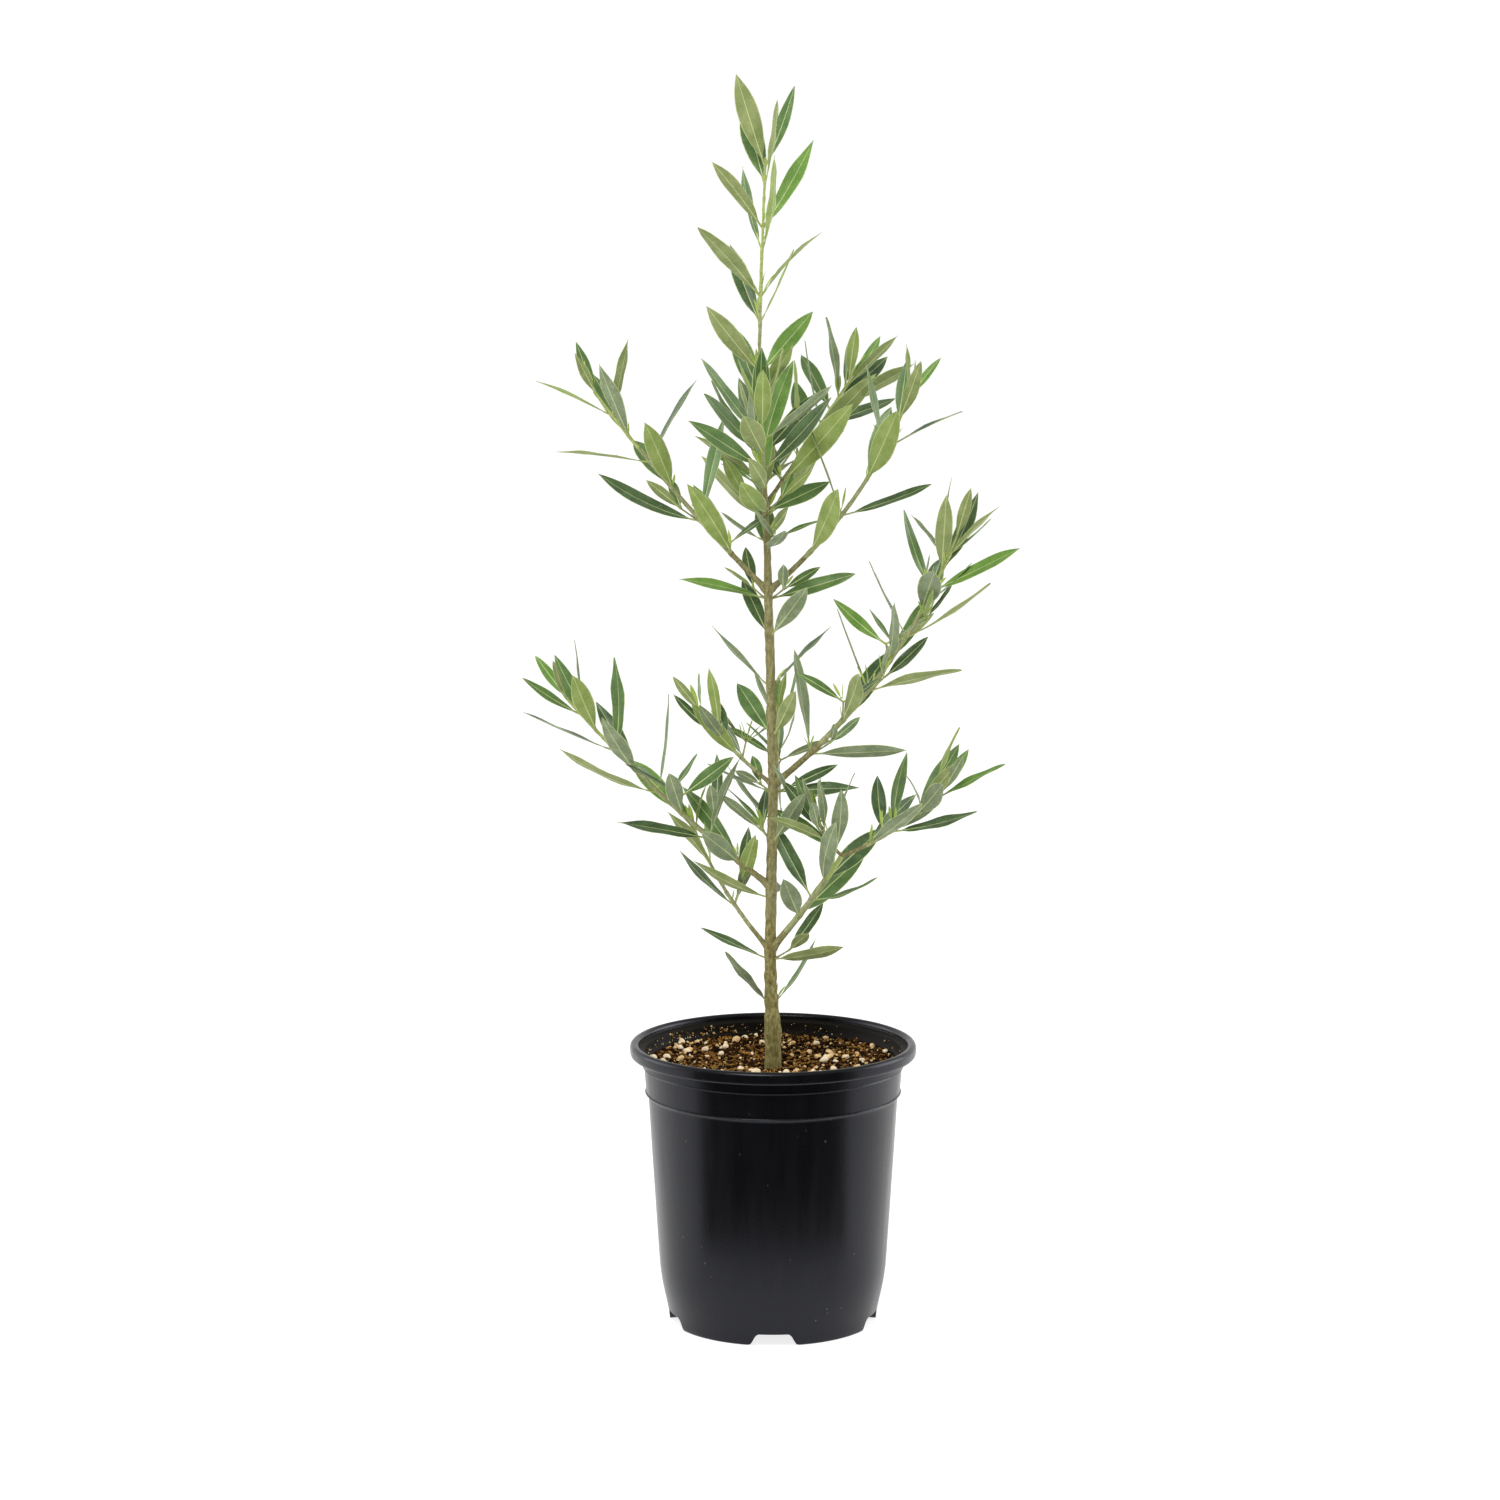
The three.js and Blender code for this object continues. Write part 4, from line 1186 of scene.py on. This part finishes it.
# Height, scale and slice of each noise, from broad swells to small lumps
LUMPS = [(1.4, 0.06, 3), (1.2, 0.2, 9), (0.5, 0.7, 20)]
LEVEL_REACH = 12                 # the surface is calm near the trunk


def soil_height(x, y):
    radius = math.hypot(x, y)
    rise = np.interp(radius, [r for r, _ in DISH], [up for _, up in DISH])
    lumps = sum(height * noise.noise(Vector((x, y, z)) * scale) for height, scale, z in LUMPS)
    return SOIL_LEVEL + rise + lumps * min(1, radius / LEVEL_REACH) - SOIL_DROP


# Moist peat is nearly black in its pores and brown on its crumbs, and has no gloss
PEAT_GRAIN = 2.2

peat, tree, shader, place = surface("peat", **{"Roughness": 0.95, "Specular IOR Level": 0.1})
crumb = add(tree, "ShaderNodeTexNoise", {"Scale": per_mm(PEAT_GRAIN), "Detail": 6.0, "Roughness": 0.7},
            {"Vector": place})
earth = add(tree, "ShaderNodeValToRGB",
            {"stops": [(0.35, linear("#0e0400")), (0.55, linear("#211003")), (0.72, linear("#3e250a"))]},
            {"Fac": crumb.outputs["Fac"]})
bump = add(tree, "ShaderNodeBump", {"Strength": 0.9, "Distance": 0.6 * MM},
           {"Height": crumb.outputs["Fac"]})
tree.links.new(earth.outputs[0], shader.inputs["Base Color"])
tree.links.new(bump.outputs[0], shader.inputs["Normal"])
print("the mix stands", round(soil_height(SOIL_RADIUS, 0) - soil_height(0, 0), 1), "mm higher at the wall")

# %% Bed of the mix
RINGS = 70
SPOKES = 220
soil_points, soil_faces = [(0, 0, SOIL_LEVEL - SOIL_DROP)], []
for i in range(1, RINGS + 1):
    radius = SOIL_RADIUS * i / RINGS
    for j in range(SPOKES):
        turn = 2 * math.pi * j / SPOKES
        x, y = radius * math.cos(turn), radius * math.sin(turn)
        soil_points.append((x, y, soil_height(x, y)))
for j in range(SPOKES):
    k = (j + 1) % SPOKES
    soil_faces.append([0, 1 + j, 1 + k])
    for i in range(RINGS - 1):
        a, b = 1 + i * SPOKES + j, 1 + i * SPOKES + k
        soil_faces.append([a, a + SPOKES, b + SPOKES, b])
piece("potting_mix", soil_points, soil_faces, [peat], None, ["soil"])

# %% A rough stone shape
CLEAR_OF_TRUNK = 6.5
CLEAR_OF_WALL = 1.5
STONE_TILT = 0.6                 # radians


def stone(subdivisions):
    work = bmesh.new()
    bmesh.ops.create_icosphere(work, subdivisions=subdivisions, radius=1)
    points = np.array([v.co[:] for v in work.verts])
    faces = [[v.index for v in f.verts] for f in work.faces]
    work.free()
    return points, faces


def spots(draws, count, reach, keep_off):
    radius = np.sqrt(draws.uniform((keep_off / reach) ** 2, 1, count)) * reach
    turn = draws.uniform(0, 2 * math.pi, count)
    return np.stack([radius * np.cos(turn), radius * np.sin(turn)], 1)


def on_mix(draws, count):
    places = spots(draws, count, SOIL_RADIUS - CLEAR_OF_WALL, CLEAR_OF_TRUNK)
    return [(x, y, soil_height(x, y)) for x, y in places]


print("faces in a fine stone:", len(stone(2)[1]))

# %% Scattering the grains
# Crumbs cling to the inside of the mouth, most of them low down and half of them at the back left
CLING_RADIUS = 73.5
CLING_HEIGHTS = (153.4, 158.5)
CLING_SHARE = 0.5
CLING_SIDE = 2.1                 # radians
CLING_SPREAD = 0.45


def on_wall(draws, count):
    turn = np.where(draws.random(count) < CLING_SHARE, draws.uniform(-math.pi, math.pi, count),
                    draws.normal(CLING_SIDE, CLING_SPREAD, count))
    height = mix(*CLING_HEIGHTS, draws.random(count) ** 2.2)
    return np.stack([CLING_RADIUS * np.cos(turn), CLING_RADIUS * np.sin(turn), height], 1)


# "sizes" go from the least to the greatest, "flat" is how thin a grain may be, "rough" how uneven,
# and "lift" how far its middle stands above its seat, as a share of its size
def scatter(name, count, seed, subdivisions, sizes, flat, rough, lift, finishes, seats=on_mix):
    draws = np.random.default_rng(seed)
    shape, faces = stone(subdivisions)
    places = seats(draws, count)
    size = sizes[0] + (sizes[1] - sizes[0]) * draws.random(count) ** 2
    points, all_faces = [], []
    for n in range(count):
        stretched = shape * (1 + draws.uniform(-rough, rough, (len(shape), 1)))
        stretched = stretched * (np.array([1, draws.uniform(*flat), draws.uniform(*flat)]) * size[n] / 2)
        turn = Matrix.Rotation(draws.uniform(0, 2 * math.pi), 3, "Z")
        turn = turn @ Matrix.Rotation(draws.uniform(-STONE_TILT, STONE_TILT), 3, "Y")
        turn = turn @ Matrix.Rotation(draws.uniform(0, 2 * math.pi), 3, "X")
        centre = np.add(places[n], (0, 0, size[n] * lift))
        points.append(stretched @ np.array(turn).T + centre)
        all_faces += [[n * len(shape) + v for v in face] for face in faces]
    dealt = np.repeat(draws.integers(0, len(finishes), count), len(faces))
    return piece(name, np.concatenate(points), all_faces, finishes, dealt)


print("crumbs on the wall stand", round(POT_HEIGHT - CLING_HEIGHTS[1], 1), "mm or more below the rim")

# %% Peat crumbs, bark and perlite
# Peat and composted bark are dull brown fibre. Perlite is glass that heat has puffed up like corn,
# so its beads are cream, chalky and pitted.
def grain_finish(name, dark, light, roughness, size, depth):
    material, tree, shader, place = surface(name, **{"Roughness": roughness, "Specular IOR Level": 0.1})
    pattern = add(tree, "ShaderNodeTexNoise", {"Scale": per_mm(size), "Detail": 4.0}, {"Vector": place})
    body = add(tree, "ShaderNodeValToRGB", {"stops": [(0.35, linear(dark)), (0.65, linear(light))]},
               {"Fac": pattern.outputs["Fac"]})
    bump = add(tree, "ShaderNodeBump", {"Strength": 0.6, "Distance": depth * MM},
               {"Height": pattern.outputs["Fac"]})
    tree.links.new(body.outputs[0], shader.inputs["Base Color"])
    tree.links.new(bump.outputs[0], shader.inputs["Normal"])
    return material


crumbs = [
    grain_finish("peat_crumb_black", "#140700", "#241203", 0.95, 0.8, 0.2),
    grain_finish("peat_crumb_brown", "#2a1605", "#432909", 0.95, 0.8, 0.2),
    grain_finish("peat_crumb_tan", "#6e4a1c", "#9a6c36", 0.9, 0.8, 0.2),
]
splinters = [
    grain_finish("composted_bark_dark", "#4a2c0e", "#6b4418", 0.9, 1.2, 0.2),
    grain_finish("composted_bark_tan", "#a47838", "#c89850", 0.85, 1.2, 0.2),
    grain_finish("composted_bark_pale", "#dcb474", "#f4d69c", 0.85, 1.2, 0.2),
]
perlite = [
    grain_finish("expanded_perlite", "#f6dcb2", "#fff0d2", 0.85, 0.9, 0.25),
    grain_finish("expanded_perlite_stained", "#e0b87c", "#f6d8a6", 0.85, 0.9, 0.25),
]
scatter("peat_crumbs", 5200, 4, 1, (0.9, 2.9), (0.6, 1.0), 0.3, 0.12, crumbs)
scatter("bark_bits", 1500, 5, 1, (0.8, 3.2), (0.3, 0.7), 0.25, 0.18, splinters)
scatter("perlite_beads", 260, 6, 2, (1.0, 5.8), (0.55, 0.85), 0.12, 0.2, perlite)
scatter("clinging_crumbs", 320, 7, 1, (0.5, 1.7), (0.6, 1.0), 0.3, 0, crumbs + splinters + perlite, on_wall)

# %% [markdown]
# Thin golden fibres of coir lie about, many of them near the trunk. Each one is a short bent tube
# that follows the surface.

# %% Coir fibres
FIBRES = 70
NEAR_SHARE = 0.4                 # these start by the trunk and run out from it
NEAR_REACH = 26
TRUNK_START = 7                  # a fibre starts this far from the middle or more
WALL_START = 8                   # and this far from the wall or more
WALL_END = 2
FIBRE_STEPS = (5, 12)
FIBRE_STEP = 1.5
FIBRE_BEND = 0.09
FIBRE_LIFT = 1.2
FIBRE_RADII = (0.12, 0.3)
FIBRE_SIDES = 5
fibre_points, fibre_faces = [], []
draws = np.random.default_rng(9)
for _ in range(FIBRES):
    near = draws.random() < NEAR_SHARE
    x, y = spots(draws, 1, NEAR_REACH if near else SOIL_RADIUS - WALL_START, TRUNK_START)[0]
    turn = math.atan2(y, x) if near else draws.uniform(0, 2 * math.pi)
    bend = draws.uniform(-FIBRE_BEND, FIBRE_BEND)
    spine = []
    for _ in range(int(draws.integers(*FIBRE_STEPS))):
        if math.hypot(x, y) < SOIL_RADIUS - WALL_END:
            spine.append(Vector((x, y, soil_height(x, y) + FIBRE_LIFT + draws.uniform(-0.1, 0.3))))
        x += FIBRE_STEP * math.cos(turn)
        y += FIBRE_STEP * math.sin(turn)
        turn += bend
    if len(spine) > 3:
        radii = [draws.uniform(*FIBRE_RADII)] * len(spine)
        points, faces = tube(spine, radii, FIBRE_SIDES, 0.02, 1)
        fibre_faces += [[len(fibre_points) + v for v in face] for face in faces]
        fibre_points += points
coir = grain_finish("coir_fibre", "#7c5822", "#b88c48", 0.8, 1.5, 0.1)
piece("coir_fibres", fibre_points, fibre_faces, [coir], None)
